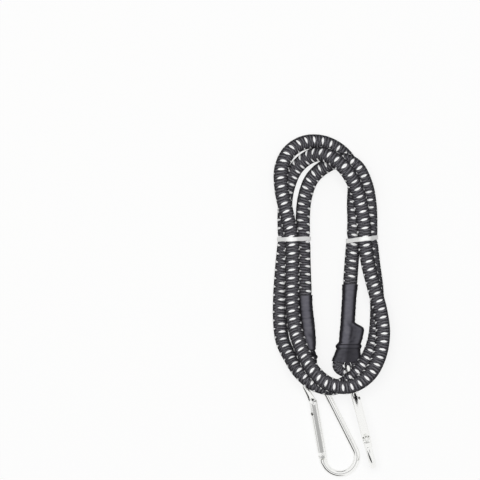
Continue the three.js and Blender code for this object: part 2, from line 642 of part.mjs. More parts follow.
// Clip 1 lies flat: its narrow end hangs in the eye and its wide end rests on the floor
const CLIP_1_AXIS = vec(0.448, -0.894, 0).normalize();
const clipOneGateSide = vec(CLIP_1_AXIS.y, -CLIP_1_AXIS.x, 0);
const wideFromNarrow = CLIP_1_AXIS.clone().multiplyScalar(wideCentre.x - narrowCentre.x)
  .addScaledVector(clipOneGateSide, wideCentre.y - narrowCentre.y);
const dropReach = wideFromNarrow.dot(EYES[0].along) + NARROW_RADIUS + WIDE_RADIUS;
const clipOneDrop = Math.asin((EYES[0].wire.z - WIRE_RADIUS - FLOOR_CLEARANCE) / dropReach);
const swingAxis = sideOf(EYES[0]);
const clipOneTilt = new THREE.Quaternion().setFromAxisAngle(swingAxis, -clipOneDrop);
placeClip(buildClip('clip_1'), EYES[0], CLIP_1_AXIS, clipOneGateSide, EYES[0].along, clipOneTilt);

// Clip 2 stands on its spine with the gate uppermost
const CLIP_2_AXIS = vec(0.245, -0.97, 0).normalize();
placeClip(buildClip('clip_2'), EYES[1], CLIP_2_AXIS, vec(0, 0, 1), CLIP_2_AXIS, new THREE.Quaternion());

export default bungeeCord;
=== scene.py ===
import json
import math

import bmesh
import bpy
import numpy as np
from mathutils import Matrix, Vector


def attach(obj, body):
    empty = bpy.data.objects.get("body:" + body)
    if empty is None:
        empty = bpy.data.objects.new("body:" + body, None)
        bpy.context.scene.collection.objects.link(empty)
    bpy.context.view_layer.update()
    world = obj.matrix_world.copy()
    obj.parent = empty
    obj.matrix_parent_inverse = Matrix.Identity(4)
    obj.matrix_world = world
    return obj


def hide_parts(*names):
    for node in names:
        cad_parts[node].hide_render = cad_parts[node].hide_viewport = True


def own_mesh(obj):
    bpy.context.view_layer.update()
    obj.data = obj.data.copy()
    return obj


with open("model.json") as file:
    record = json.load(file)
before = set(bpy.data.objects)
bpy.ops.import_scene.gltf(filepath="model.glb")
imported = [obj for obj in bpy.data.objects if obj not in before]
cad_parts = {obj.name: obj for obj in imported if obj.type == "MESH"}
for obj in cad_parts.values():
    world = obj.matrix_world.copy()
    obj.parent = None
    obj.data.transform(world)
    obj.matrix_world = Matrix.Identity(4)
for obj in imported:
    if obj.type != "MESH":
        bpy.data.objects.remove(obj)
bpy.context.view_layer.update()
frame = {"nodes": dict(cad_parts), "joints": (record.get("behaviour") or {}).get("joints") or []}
scene = bpy.context.scene


# Studio: the hank lies on a matt white board under a softbox, seen from straight above through a long lens.
# The metal mirrors a white room with a dim patch in its ceiling and one dark side.
MM = 0.001
VIEW_MIDDLE = (-45.7 * MM, 32.35 * MM)   # middle of the picture on the floor plan
VIEW_WIDTH = 240 * MM                    # 480 pixels of half a millimetre
VIEW_LEVEL = 12 * MM                     # height in the hank at which that width holds
CAMERA_RISE = 2.5                        # camera above that level
SENSOR = 36                              # millimetres
FLOOR_SPAN = 2.0
FLOOR_LIFT = 0.8                         # share of plain white in the board as the lens and the metal see it
ROOM_LEVEL = 0.35                        # what the room's walls add to the lamps
DARK_SIDE = Vector((-0.5, -0.866, 0))
DARK_EDGE = (0.66, 0.84)                 # how nearly a ray points there where the dark starts and is full
DARK_TOP = (0.75, 0.6)                   # and how high it points
DARK_SHARE = 0.95
DIM_WAY = Vector((0.02, -0.21, 0.977))   # to the dim patch, which the first clip's flats mirror
DIM_EDGE = (0.97, 0.985)
DIM_SHARE = 0.54
LAMPS = {
    "softbox": {"place": (-0.05, 0.1, 1.6), "span": 0.8, "watts": 17},
    "window_lamp": {"place": (-0.7, 0.6, 0.9), "span": 0.5, "watts": 1},
}


def linear(hex_colour):
    """An sRGB hex colour as the linear colour that shaders read."""
    shares = [int(hex_colour[i:i + 2], 16) / 255 for i in (1, 3, 5)]
    return [s / 12.92 if s <= 0.04045 else ((s + 0.055) / 1.055) ** 2.4 for s in shares] + [1]


def add(tree, kind, inputs=None, stops=(), **settings):
    """Adds a node with its settings. An input is a value, an output to link, or a node for its first output.
    Stops are the places and colours on a colour ramp, in rising order."""
    made = tree.nodes.new(kind)
    for name, value in settings.items():
        setattr(made, name, value)
    for name, value in (inputs or {}).items():
        if isinstance(value, bpy.types.Node):
            value = value.outputs[0]
        if isinstance(value, bpy.types.NodeSocket):
            tree.links.new(value, made.inputs[name])
        else:
            made.inputs[name].default_value = value
    for i, (place, colour) in enumerate(stops):
        stop = made.color_ramp.elements[i] if i < 2 else made.color_ramp.elements.new(place)
        stop.position = place
        stop.color = colour
    return made


def light_paths(tree):
    """The kinds of ray, and 1 on those that metal and glass send on."""
    kinds = add(tree, "ShaderNodeLightPath")
    sent_on = {0: kinds.outputs["Is Glossy Ray"], 1: kinds.outputs["Is Transmission Ray"]}
    return kinds, add(tree, "ShaderNodeMath", sent_on, operation="MAXIMUM")


scene.view_settings.view_transform = "Standard"
lens = bpy.data.cameras.new("overhead_camera")
lens.sensor_width = SENSOR
lens.lens = SENSOR * CAMERA_RISE / VIEW_WIDTH
lens.clip_end = 4 * CAMERA_RISE
camera = bpy.data.objects.new("overhead_camera", lens)
camera.location = (*VIEW_MIDDLE, VIEW_LEVEL + CAMERA_RISE)
scene.collection.objects.link(camera)
scene.camera = camera

for name, lamp in LAMPS.items():
    light = bpy.data.lights.new(name, "AREA")
    light.size = lamp["span"]
    light.energy = lamp["watts"]
    holder = bpy.data.objects.new(name, light)
    holder.location = lamp["place"]
    holder.rotation_euler = (-Vector(lamp["place"])).to_track_quat("-Z", "Y").to_euler()
    holder.visible_glossy = False
    scene.collection.objects.link(holder)

room = bpy.data.worlds.new("studio_room")
room.use_nodes = True
scene.world = room
tree = room.node_tree
tree.nodes.clear()
look = add(tree, "ShaderNodeTexCoord").outputs["Generated"]
height = add(tree, "ShaderNodeSeparateXYZ", {0: look}).outputs["Z"]
facing = add(tree, "ShaderNodeVectorMath", {0: look, 1: DARK_SIDE}, operation="DOT_PRODUCT").outputs["Value"]
above = add(tree, "ShaderNodeVectorMath", {0: look, 1: DIM_WAY}, operation="DOT_PRODUCT").outputs["Value"]
beside, low, ceiling = (
    add(tree, "ShaderNodeMapRange", {"Value": value, "From Min": begins, "From Max": full},
        interpolation_type="SMOOTHSTEP")
    for value, (begins, full) in ((facing, DARK_EDGE), (height, DARK_TOP), (above, DIM_EDGE))
)
side = add(tree, "ShaderNodeMath", {0: beside, 1: low}, operation="MULTIPLY")
side = add(tree, "ShaderNodeMath", {0: side, 1: DARK_SHARE}, operation="MULTIPLY")
shade = add(tree, "ShaderNodeMath", {0: ceiling, 1: DIM_SHARE, 2: side}, operation="MULTIPLY_ADD")
mirrored = add(tree, "ShaderNodeMath", {0: 1, 1: shade}, operation="SUBTRACT")
rays, glossy = light_paths(tree)
level = add(tree, "ShaderNodeMix", {0: glossy, 2: ROOM_LEVEL, 3: mirrored})
level = add(tree, "ShaderNodeMix", {0: rays.outputs["Is Camera Ray"], 2: level, 3: 1})
sky = add(tree, "ShaderNodeBackground", {"Color": (1, 1, 1, 1), "Strength": level})
add(tree, "ShaderNodeOutputWorld", {"Surface": sky})


def new_material(name):
    """A material with an empty node tree, and that tree."""
    made = bpy.data.materials.new(name)
    made.use_nodes = True
    made.node_tree.nodes.clear()
    return made, made.node_tree


def placed(name, shape):
    """The shape as an object in the scene."""
    mesh = bpy.data.meshes.new(name)
    shape.to_mesh(mesh)
    shape.free()
    made = bpy.data.objects.new(name, mesh)
    scene.collection.objects.link(made)
    return made


# Matt white board: plain white to the lens and the metal, with the hank's shadow on it
white_board, tree = new_material("matt_white_board")
rays, glossy = light_paths(tree)
seen = add(tree, "ShaderNodeMath", {0: rays.outputs["Is Camera Ray"], 1: glossy}, operation="MAXIMUM")
tone = add(tree, "ShaderNodeMix", {0: seen, 6: linear("#707070"), 7: linear("#f2f2f1")}, data_type="RGBA")
board = add(tree, "ShaderNodeBsdfDiffuse", {"Color": tone.outputs[2]})
white = add(tree, "ShaderNodeEmission", {"Color": (1, 1, 1, 1), "Strength": 1})
lift = add(tree, "ShaderNodeMath", {0: seen, 1: FLOOR_LIFT}, operation="MULTIPLY")
mixed = add(tree, "ShaderNodeMixShader", {0: lift, 1: board, 2: white})
add(tree, "ShaderNodeOutputMaterial", {"Surface": mixed})
floor_shape = bmesh.new()
bmesh.ops.create_grid(floor_shape, x_segments=1, y_segments=1, size=FLOOR_SPAN)
floor = placed("floor", floor_shape)
floor.data.materials.append(white_board)


# Rubber core: the elastic of the cord, a bundle of raw latex strands that is drawn thin round each eye.
# It runs unbroken from cut end to cut end, three times round the hank, so its line is settled here.
CORD_RADIUS = 3.6
EYE_CORD_RADIUS = 2.1
EYE_TAIL_WIDTH = 4.3     # clip wire's centre to the cut tail's leg of an eye
EYE_RUN = 42             # thin cord from its cut end
TAPER_RUN = 9
GRIP_RADIUS = 2.95       # the cord squeezed in its sleeve
GRIP_RUN = 67            # from the cut end to where the sleeve lets go
SWELL_RUN = 10
TIE_Y = 32.8
WAIST_SQUEEZE = 0.7      # taken off the cord's radius under a tie
WAIST_RUN = 1.8
WIRE_RADIUS = 1.65
CLEARANCE = 0.3
SHEATH_WALL = 1.0
CORE_CLEARANCE = 0.35
FLOOR_GAP = 0.02
CORE_STRANDS = 6
CORE_FLUTE = 0.22
CORE_AROUND = 36
CORE_STEP = 2.0
LINE_STEP = 0.5
SEAM = 1e-7              # metres, within which the two edges of a skin are merged

# Strands of the route in millimetres, in the order in which the cord runs
TAIL_1 = [[-11.2, -17.7, 3.3], [-10.8, -22, 3.7], [-10.35, -26.5, 4.7], [-9.95, -31.1, 3.3]]
SLEEVE_1 = [
    [-9.95, -31.1, 10.9], [-10.35, -26.5, 9.5], [-10.8, -22, 9.1], [-11.25, -17.3, 9.1], [-11.8, -11.8, 8.4],
    [-12.5, -5.8, 6.6], [-13, 0.2, 5.2],
]
INNER_CROWN = [
    [-13.4, 9.5, 4.2], [-13.8, 21, 3.3], [-14, 32.8, 4.8], [-14.2, 43, 3.6], [-13.2, 53.5, 3.2],
    [-9.7, 63, 3.9], [-3, 69.2, 6.3], [6, 72.3, 10.5],
]
OUTER_RIGHT = [
    [12.5, 69.1, 10.8], [17.1, 60.6, 8.7], [19.3, 49.5, 5.8], [19.8, 32.8, 4.8], [21, 21, 3.6],
    [22.7, 8, 3.2], [23.1, -5, 4.4], [21.6, -18, 8.4], [17.5, -27.6, 12.9],
]
BACK_BOTTOM = [[10.6, -36.2, 16], [1.3, -41.4, 16.3], [-8.4, -39.6, 18], [-15.6, -33.8, 15.5]]
OUTER_LEFT = [
    [-20.2, -26.8, 9.4], [-24.2, -18.6, 5.2], [-25.6, -8, 3.3], [-25.5, 5, 2.9], [-24.6, 18, 3.3],
    [-23.3, 32.8, 4.8], [-23.3, 46, 3.1], [-21.9, 58, 3],
]
MIDDLE_CROWN = [[-17.6, 68.2, 4.6], [-10, 74.4, 9.2], [-2.7, 74.8, 14.9], [5.7, 69, 18.3]]
FRONT_RIGHT = [
    [11, 61.2, 15.8], [14.3, 51.8, 13], [16.2, 40.4, 12.3], [16.7, 32.8, 12.2], [18.2, 21.4, 11.6],
    [21.4, 8.4, 12], [24.5, -3.6, 13.4], [25.7, -14.6, 15.2], [23.6, -26, 18.4],
]
FRONT_BOTTOM = [[18.2, -35.2, 21.8], [9.3, -40.4, 24], [-0.5, -39.6, 24.8]]
FRONT_LEFT = [
    [-8.2, -34, 24.2], [-14.2, -24, 19.3], [-18.2, -12, 14.8], [-19.7, 0.8, 12.6], [-19.6, 16.8, 11.6],
    [-19.8, 32.8, 11.8], [-22.2, 45, 11], [-24.8, 57.2, 10.2],
]
OUTER_CROWN = [
    [-25, 68, 8.4], [-21, 76.5, 5.4], [-13.4, 81.2, 3.2], [-4.6, 81.4, 2.9], [3.6, 77.7, 2.9],
]
INNER_RIGHT = [
    [9.3, 71.4, 2.9], [11.7, 61.6, 2.9], [11.5, 50, 2.9], [11.7, 41, 3.7], [11.2, 32.8, 4.8], [10.2, 20, 3.7],
]
SLEEVE_2 = [
    [9.5, 10, 4.6], [9, 2.5, 4.6], [8.5, -5.6, 4.6], [8.1, -11.6, 4.8], [7.4, -16.6, 5.3], [6.3, -21.1, 5.7],
    [4.3, -25.4, 5.8],
]
TAIL_2 = [[12.2, -25.6, 5.8], [11.5, -21.1, 5.7], [13, -16.6, 5.3], [13.9, -12.15, 5.1]]

joints = {joint["name"]: joint for joint in frame["joints"]}


def unit(vector):
    return np.array(vector, float) / np.linalg.norm(vector)


# Each eye: the clip wire's centre in it, the way it points, the way from the cut tail to the main cord,
# and how far the main cord's leg lies from the wire's centre
EYES = [
    {"wire": np.array(joints["clip_1_swing"]["pos_m"]) / MM, "along": unit((0.094, -1, 0)),
     "across": np.array((0, 0, 1)), "main_width": 4.3},
    {"wire": np.array(joints["clip_2_swing"]["pos_m"]) / MM, "along": unit((0, -1, 0)),
     "across": np.array((-1, 0, 0)), "main_width": 5.5},
]


def eye_loop(eye):
    """Half a turn round the clip wire, from the tail's leg to the main cord's leg."""
    reach = WIRE_RADIUS + EYE_CORD_RADIUS + CLEARANCE
    loop = []
    for turn in np.radians(range(-90, 91, 30)):
        half_width = EYE_TAIL_WIDTH if turn < 0 else eye["main_width"]
        ahead = reach * math.cos(turn) * eye["along"]
        loop.append(eye["wire"] + ahead + half_width * math.sin(turn) * eye["across"])
    return loop


def smooth_line(knots):
    """A smooth line through the knots (centripetal Catmull-Rom), and each knot's row in it."""
    ends = [2 * knots[0] - knots[1], *knots, 2 * knots[-1] - knots[-2]]
    line, rows = [], [0]
    for before, start, end, after in zip(ends, ends[1:], ends[2:], ends[3:]):
        a, b, c = (np.linalg.norm(q - p) ** 0.5 for p, q in ((before, start), (start, end), (end, after)))
        leave = b * ((start - before) / a - (end - before) / (a + b) + (end - start) / b)
        arrive = b * ((end - start) / b - (after - start) / (b + c) + (after - end) / c)
        count = math.ceil(np.linalg.norm(end - start) / LINE_STEP)
        t = np.arange(count)[:, None] / count
        square = 3 * (end - start) - 2 * leave - arrive
        cube = 2 * (start - end) + leave + arrive
        line.extend(start + leave * t + square * t ** 2 + cube * t ** 3)
        rows.append(len(line))
    line.append(knots[-1])
    return np.array(line), rows


def runs_along(line):
    """The length along a line up to each of its points."""
    return np.concatenate([[0], np.cumsum(np.linalg.norm(np.diff(line, axis=0), axis=1))])


strands = [
    TAIL_1, eye_loop(EYES[0]), SLEEVE_1, INNER_CROWN, OUTER_RIGHT, BACK_BOTTOM, OUTER_LEFT, MIDDLE_CROWN,
    FRONT_RIGHT, FRONT_BOTTOM, FRONT_LEFT, OUTER_CROWN, INNER_RIGHT, SLEEVE_2,
    eye_loop(EYES[1])[::-1], TAIL_2,
]
cord_line, knot_rows = smooth_line([np.array(point, float) for strand in strands for point in strand])
cord_runs = runs_along(cord_line)
cord_length = cord_runs[-1]
cord_ways = np.gradient(cord_line, axis=0)
cord_ways /= np.linalg.norm(cord_ways, axis=1)[:, None]
cord_ups = [np.array((0, 0, 1.0))]
for way in cord_ways:
    cord_ups.append(unit(cord_ups[-1] - way * (cord_ups[-1] @ way)))
cord_ups = np.array(cord_ups[1:])
cord_sides = np.cross(cord_ways, cord_ups)


def eased(value, start, span):
    """0 up to the start, 1 from a span later, and smooth between."""
    share = np.clip((value - start) / span, 0, 1)
    return share ** 2 * (3 - 2 * share)


from_end = np.minimum(cord_runs, cord_length - cord_runs)
sleeved = EYE_CORD_RADIUS + (GRIP_RADIUS - EYE_CORD_RADIUS) * eased(from_end, EYE_RUN, TAPER_RUN)
free_radii = sleeved + (CORD_RADIUS - sleeved) * eased(from_end, GRIP_RUN, SWELL_RUN)
cord_radii = free_radii - WAIST_SQUEEZE * np.exp(-((cord_line[:, 1] - TIE_Y) / WAIST_RUN) ** 2)


def along_cord(rows, run):
    """Rows of the cord's own line, read at lengths along it."""
    rows = rows.reshape(len(cord_runs), -1)
    return np.stack([np.interp(run, cord_runs, column) for column in rows.T], axis=-1)


def round_cord(turn, run, radius):
    """Points round the cord by their turn from its upper side and the length along it, in metres and never
    under the floor."""
    ups, sides = along_cord(cord_ups, run), along_cord(cord_sides, run)
    out = np.cos(turn)[..., None] * ups + np.sin(turn)[..., None] * sides
    points = along_cord(cord_line, run) + radius[..., None] * out
    points[..., 2] = np.maximum(points[..., 2], FLOOR_GAP)
    return points * MM


def full_turn(count):
    """Even turns round a section, in radians."""
    return np.arange(count) / count * 2 * math.pi


def skin(rings, closed=False, marks=None):
    """A grid wrapped over rings of points, with its seam merged. Closed joins the last ring to the first,
    and else the two ends are capped. The UV map runs round each ring, and along the rings by marks."""
    count, around = rings.shape[:2]
    spans = count if closed else count - 1
    marks = np.linspace(0, 1, spans + 1) if marks is None else marks
    shape = bmesh.new()
    uv = shape.loops.layers.uv.new("surface")
    bmesh.ops.create_grid(shape, x_segments=around, y_segments=spans, size=1)
    cells = {v: (round((v.co.x + 1) / 2 * around), round((v.co.y + 1) / 2 * spans)) for v in shape.verts}
    for face in shape.faces:
        for loop in face.loops:
            i, j = cells[loop.vert]
            loop[uv].uv = (i / around, marks[j])
    for vert, (i, j) in cells.items():
        vert.co = rings[j % count][i % around]
    bmesh.ops.remove_doubles(shape, verts=shape.verts, dist=SEAM)
    if not closed:
        bmesh.ops.holes_fill(shape, edges=[e for e in shape.edges if e.is_boundary], sides=0)
    bmesh.ops.recalc_face_normals(shape, faces=shape.faces)
    return shape


def finished(name, shape, material, body, slot, *nodes, crease=40):
    """The shape as a piece that rides on a body and stands for CAD nodes. It is smooth up to a crease
    in degrees."""
    piece = placed(name, shape)
    mesh = piece.data
    mesh.materials.append(material)
    mesh.polygons.foreach_set("use_smooth", [True] * len(mesh.polygons))
    mesh.set_sharp_from_angle(angle=math.radians(crease))
    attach(piece, body)
    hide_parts(*nodes)
    return piece


# Raw latex: dipped and cut strands, matt and slightly mottled, the colour of honey
latex, tree = new_material("raw_latex")
place = add(tree, "ShaderNodeTexCoord").outputs["Object"]
mottle = add(tree, "ShaderNodeTexNoise", {"Vector": place, "Scale": 1 / (3 * MM), "Detail": 3})
tone = add(tree, "ShaderNodeValToRGB", {0: mottle}, [(0, linear("#b89c6c")), (1, linear("#d8c298"))])
rubber = add(tree, "ShaderNodeBsdfPrincipled", {"Base Color": tone, "Roughness": 0.75, "IOR": 1.52})
add(tree, "ShaderNodeOutputMaterial", {"Surface": rubber})

turns = full_turn(CORE_AROUND)
runs = np.linspace(0, cord_length, round(cord_length / CORE_STEP))
core_share = 1 - SHEATH_WALL / CORD_RADIUS
flutes = CORE_FLUTE * (1 - np.abs(np.cos(CORE_STRANDS / 2 * turns)))
core_turns, core_runs = np.meshgrid(turns, runs)
core_radii = along_cord(cord_radii, core_runs)[..., 0] * core_share - CORE_CLEARANCE - flutes
finished("latex_strands", skin(round_cord(core_turns, core_runs, core_radii)), latex, "hank", "latex_rubber",
         "rubber_core")


# Braided sheath: a black polyester tube braided round the rubber while it was stretched, so that at rest
# its yarns lie almost square to the cord. Their lumps are in the mesh, the yarns themselves in the finish.
SHEATH_AROUND = 32
SHEATH_STEP = 0.36
LINING_STEP = 6.0
# Bulges of the second eye's legs towards the wire: how far from the cut end, over what span, how high
EYE_BULGES = [(34, 5, 1.6), (15, 3.2, 1.3)]
BULGE_FOCUS = 3         # more makes the bulges narrower round the cord
RELIEF = 0.06           # height of the ribs that the yarns make
YARNS = 2               # bundles of yarn each way round the cord
YARN_SPACING = 1.4      # along the cord
FLUFF_SHARE = 0.6       # of the loose fibres in the surface, beside the yarns


def facing_up(tree):
    """1 on a surface that faces straight up, 0 on an upright one."""
    normal = add(tree, "ShaderNodeTexCoord").outputs["Normal"]
    return add(tree, "ShaderNodeSeparateXYZ", {0: normal}).outputs["Z"]


def turns_to(ways):
    """Turns round the cord, from its upper side, that face the way given at each point of its line."""
    return np.unwrap(np.arctan2((ways * cord_sides).sum(1), (ways * cord_ups).sum(1)))


# Black polyester: dull yarns, grey on their crowns with painted sheen and nearly black between with painted
# shade, and paler on top of the cord with painted top light.
# Real yarns are too fine to show, so they are drawn as bundles.
braid, tree = new_material("black_polyester_braid")
surface = add(tree, "ShaderNodeSeparateXYZ", {0: add(tree, "ShaderNodeTexCoord").outputs["UV"]})
around = add(tree, "ShaderNodeMath", {0: surface, 1: YARNS}, operation="MULTIPLY")
ways = {}
for way, sign in (("right", 1), ("left", -1)):
    ways[way] = add(tree, "ShaderNodeMath",
                    {0: surface.outputs[1], 1: sign / (YARN_SPACING * MM), 2: around},
                    operation="MULTIPLY_ADD")
ridges, counts = {}, {}
for way, place in ways.items():
    ridges[way] = add(tree, "ShaderNodeMath", {0: place, 1: 0.5}, operation="PINGPONG")
    counts[way] = add(tree, "ShaderNodeMath", {0: place}, operation="FLOOR")
crossing = add(tree, "ShaderNodeMath", {0: counts["right"], 1: counts["left"]}, operation="ADD")
over = add(tree, "ShaderNodeMath", {0: crossing, 1: 2}, operation="FLOORED_MODULO")
yarn = add(tree, "ShaderNodeMix", {0: over, 2: ridges["left"], 3: ridges["right"]})
place = add(tree, "ShaderNodeTexCoord").outputs["Object"]
fluff = add(tree, "ShaderNodeTexNoise", {"Vector": place, "Scale": 1 / (0.7 * MM), "Detail": 4})
relief = add(tree, "ShaderNodeMath", {0: fluff, 1: FLUFF_SHARE, 2: yarn}, operation="MULTIPLY_ADD")
# Painted sheen and shade: the yarns' crowns grey and the hollows between them near black, by their height
tone = add(tree, "ShaderNodeValToRGB", {0: relief}, [(0.35, linear("#2d2c2f")), (0.8, linear("#6e6d72"))])
# Painted top light: the cord paler where it faces up, near black on its sides
braid_top_light = add(tree, "ShaderNodeMapRange",
            {"Value": facing_up(tree), "From Min": 0.2, "From Max": 0.9, "To Min": 0.25})
tone = add(tree, "ShaderNodeMix", {0: braid_top_light, 6: linear("#161518"), 7: tone}, data_type="RGBA")
bump = add(tree, "ShaderNodeBump", {"Height": relief, "Strength": 0.45, "Distance": 0.25 * MM})
polyester = add(tree, "ShaderNodeBsdfPrincipled",
                {"Base Color": tone.outputs[2], "Roughness": 0.6, "IOR": 1.58, "Specular IOR Level": 0,
                 "Normal": bump, "Sheen Weight": 0.03, "Sheen Roughness": 0.3})
add(tree, "ShaderNodeOutputMaterial", {"Surface": polyester})

turns = full_turn(SHEATH_AROUND)
runs = np.linspace(0, cord_length, round(cord_length / SHEATH_STEP))
sheath_turns, sheath_runs = np.meshgrid(turns, runs)
inward_turns = turns_to(EYES[1]["wire"] - cord_line)
towards_wire = np.maximum(np.cos(sheath_turns - along_cord(inward_turns, sheath_runs)[..., 0]), 0)
bulge = sum(high * np.exp(-((cord_length - sheath_runs - at) / span) ** 2) for at, span, high in EYE_BULGES)
ribs = RELIEF / 2 * (1 - np.cos(2 * math.pi * sheath_runs / YARN_SPACING))
sheath_radii = along_cord(cord_radii, sheath_runs)[..., 0] - ribs + bulge * towards_wire ** BULGE_FOCUS
outside = round_cord(sheath_turns, sheath_runs, sheath_radii)
lining_marks = np.linspace(cord_length, 0, round(cord_length / LINING_STEP))
lining_turns, lining_runs = np.meshgrid(turns, lining_marks)
lining = round_cord(lining_turns, lining_runs, along_cord(cord_radii, lining_runs)[..., 0] * core_share)
marks = np.concatenate([runs, lining_marks, [0]]) * MM
sheath = finished("sheath_braid", skin(np.concatenate([outside, lining]), True, marks), braid, "hank",
                  "black_braid", "braided_sheath")


# Tracer yarns: white polyester carried in the braid, which comes to the surface as short floats.
# They lie in four rows along the cord, each row half a float's spacing behind the next.
TRACER_ROWS = 4
TRACER_SPACING = 4.2
TRACER_FIRST = 2.1
TRACER_ARC = math.radians(64)
TRACER_WIDTH = 1.4
TRACER_HEIGHT = 0.16      # of a float's crown above the braid
TRACER_AROUND = 6
TRACER_RINGS = 6
TRACER_COVER = (2, 41)    # from the clip wire back along the eye, where the film hides the floats
# Each strand in its turn: degrees by which one row is turned from the top of the cord, at even steps
# along it, and degrees by which the floats lean
TRACER_LAY = [
    ([-143], 0), ([-143], 0), ([-143], 0), ([-143, -135, -115, -112, -108], -6), ([-94, -90, -90], -3),
    ([-80], 0), ([-80, -76, -62], 0), ([-60, -45, -12], -6), ([-5, -8, -14], 6), ([-5], 8), ([-6, -8, -2], 8),
    ([0, -18, -15], 8), ([4, 8, -6], -6), ([-10], -6), ([-10], 0), ([-10], 0),
]

# White polyester: bright soft yarn, with painted shade a little greyer between its threads, which are drawn
# coarser than real so that they show
tracer, tree = new_material("white_polyester_yarn")
place = add(tree, "ShaderNodeTexCoord").outputs["Object"]
threads = add(tree, "ShaderNodeTexNoise", {"Vector": place, "Scale": 1 / (0.5 * MM), "Detail": 3})
# Painted shade: greyer where the thread noise is low, between the threads
tone = add(tree, "ShaderNodeValToRGB", {0: threads}, [(0.3, linear("#e2e2e2")), (0.6, linear("#fafafa"))])
bump = add(tree, "ShaderNodeBump", {"Height": threads, "Strength": 0.4, "Distance": 0.1 * MM})
polyester = add(tree, "ShaderNodeBsdfPrincipled",
                {"Base Color": tone, "Roughness": 0.55, "IOR": 1.58, "Normal": bump})
add(tree, "ShaderNodeOutputMaterial", {"Surface": polyester})

strand_ends = cord_runs[knot_rows][np.cumsum([len(strand) for strand in strands]) - 1]
lay_runs, row_turns, leans = [], [], []
for start, end, (turns, lean) in zip([0, *strand_ends], strand_ends, TRACER_LAY):
    lay_runs.extend(np.linspace(start, end, len(turns) + 2)[1:-1])
    row_turns.extend(turns)
    leans.extend([lean] * len(turns))
top_turns = turns_to(np.array((0, 0, 1.0)) - cord_ways * cord_ways[:, 2:])
relaxed = np.concatenate([[0], np.cumsum(np.diff(cord_runs) * (free_radii[1:] / CORD_RADIUS) ** 2)])

# One spindle serves every float: it is laid round the cord anew each time and added to the rest
floats = bmesh.new()
spindle = bmesh.new()
bmesh.ops.create_uvsphere(spindle, u_segments=TRACER_AROUND, v_segments=TRACER_RINGS, radius=1)
bmesh.ops.recalc_face_normals(spindle, faces=spindle.faces)
lie = np.array([v.co for v in spindle.verts])
lie[:, :2] *= np.sqrt(np.maximum(1 - lie[:, 2:] ** 2, 0))
one_float = bpy.data.meshes.new("one_float")
spindle.to_mesh(one_float)
spindle.free()
for row in range(TRACER_ROWS):
    firsts = TRACER_FIRST + TRACER_SPACING * (row % 2) / 2
    for run in np.interp(np.arange(firsts, relaxed[-1], TRACER_SPACING), relaxed, cord_runs):
        eye = EYES[0] if run < cord_length / 2 else EYES[1]
        behind = (eye["wire"] - along_cord(cord_line, run)) @ eye["along"]
        if min(run, cord_length - run) < GRIP_RUN + SWELL_RUN and TRACER_COVER[0] < behind < TRACER_COVER[1]:
            continue
        radius = np.interp(run, cord_runs, cord_radii)
        turn = np.interp(run, cord_runs, top_turns) + math.radians(np.interp(run, lay_runs, row_turns))
        across = lie[:, 2] * TRACER_ARC / 2
        slant = math.tan(math.radians(np.interp(run, lay_runs, leans)))
        ahead = lie[:, 0] * TRACER_WIDTH / 2 + across * radius * slant
        raised = radius + lie[:, 1] * TRACER_HEIGHT
        points = round_cord(turn + row * 2 * math.pi / TRACER_ROWS + across, run + ahead, raised)
        one_float.vertices.foreach_set("co", points.ravel())
        floats.from_mesh(one_float)
bpy.data.meshes.remove(one_float)
bmesh.ops.recalc_face_normals(floats, faces=floats.faces)
finished("tracer_yarns", floats, tracer, "hank", "black_braid")


# Clamp rings: bare steel bands crimped round the two legs of each eye, out of sight under the film.
# They keep their CAD shape.

# Rolled steel: grey and half bright, duller along the faint lines that rolling leaves on strip
steel_band, tree = new_material("rolled_steel_band")
place = add(tree, "ShaderNodeTexCoord").outputs["Object"]
stretch = add(tree, "ShaderNodeMapping", {"Vector": place, "Scale": (1, 8, 1)})
rolling = add(tree, "ShaderNodeTexNoise", {"Vector": stretch, "Scale": 1 / (1.5 * MM), "Detail": 2})
dull = add(tree, "ShaderNodeMapRange", {"Value": rolling, "To Min": 0.28, "To Max": 0.45})
band = add(tree, "ShaderNodeBsdfPrincipled",
           {"Base Color": linear("#cfd0d1"), "Metallic": 1, "Roughness": dull})
add(tree, "ShaderNodeOutputMaterial", {"Surface": band})
for number in (1, 2):
    frame["nodes"][f"clamp_ring_{number}"].material_slots[0].material = steel_band


# Shrink sleeves: dark polyolefin tube slipped over both legs of an eye and heated until it grips them.
# The cut tail shows under it as a fin, the clamp ring as a band with a crease at either side.
SLEEVE_WALL = 0.5
FILM_GAP = 0.18
FILM_PINCH = 0.15        # by which the far end is drawn in
PINCH_RUN = 3
SLEEVE_LENGTH = 38.4
SLEEVE_MOUTH = 1.9
SLEEVE_AROUND = 64
SLEEVE_STEP = 0.2
RING_SEAT = 9.2
RING_WIDTH = 2.0
RING_RISE = 0.85
RING_BLEND = 0.6
CREASE_DEPTH = 0.22
CREASE_WIDTH = 0.28
MOUTH_LIP = 0.7          # by which the film reaches on between the legs
LIP_RUN = 1.5
FIN_RUN = 5.2            # over which the film closes past the cut tail
FIN_TAPER = 0.4
FILM_CLING = 0.75        # share of its way to a leg that the film sinks in each pass
FILM_PASSES = 3
FILM_SINK = 1.5          # the most that it sinks
MOUTH_SINK = 0.75        # the most between the clamp ring and the mouth
SMOOTH_AROUND = 2        # passes in which the sunk film is smoothed
SMOOTH_ALONG = 12
RING_MARGIN = 0.6        # at either side of the clamp ring that the film is held out by it
RING_SMOOTH = 8
LEG_REACH = 2.5 * CORD_RADIUS
RIPPLES = [(0.045, 3.1, 0.4), (0.03, 1.9, 1.7)]    # height, spacing and start of the film's faint rings
# How much of the painted top light is left at shares of the way round: over the cut tail the fin is painted
# in shade
FIN_SHADE_SHARES = [(0.2, 1), (0.255, 0.25), (0.4, 0.6), (0.5, 0.6)]
FIN_SHADE_END = (0.22, 0.28)    # shares of the way along between which the painted fin shade ends, past the tail
MOUTH_SHADE_RUN = (0.07, 0.13)    # and between which the painted top light grows to full behind the mouth, with painted shade at the mouth
WAYS_TRIED = 721            # round a section, to find what a tight line touches


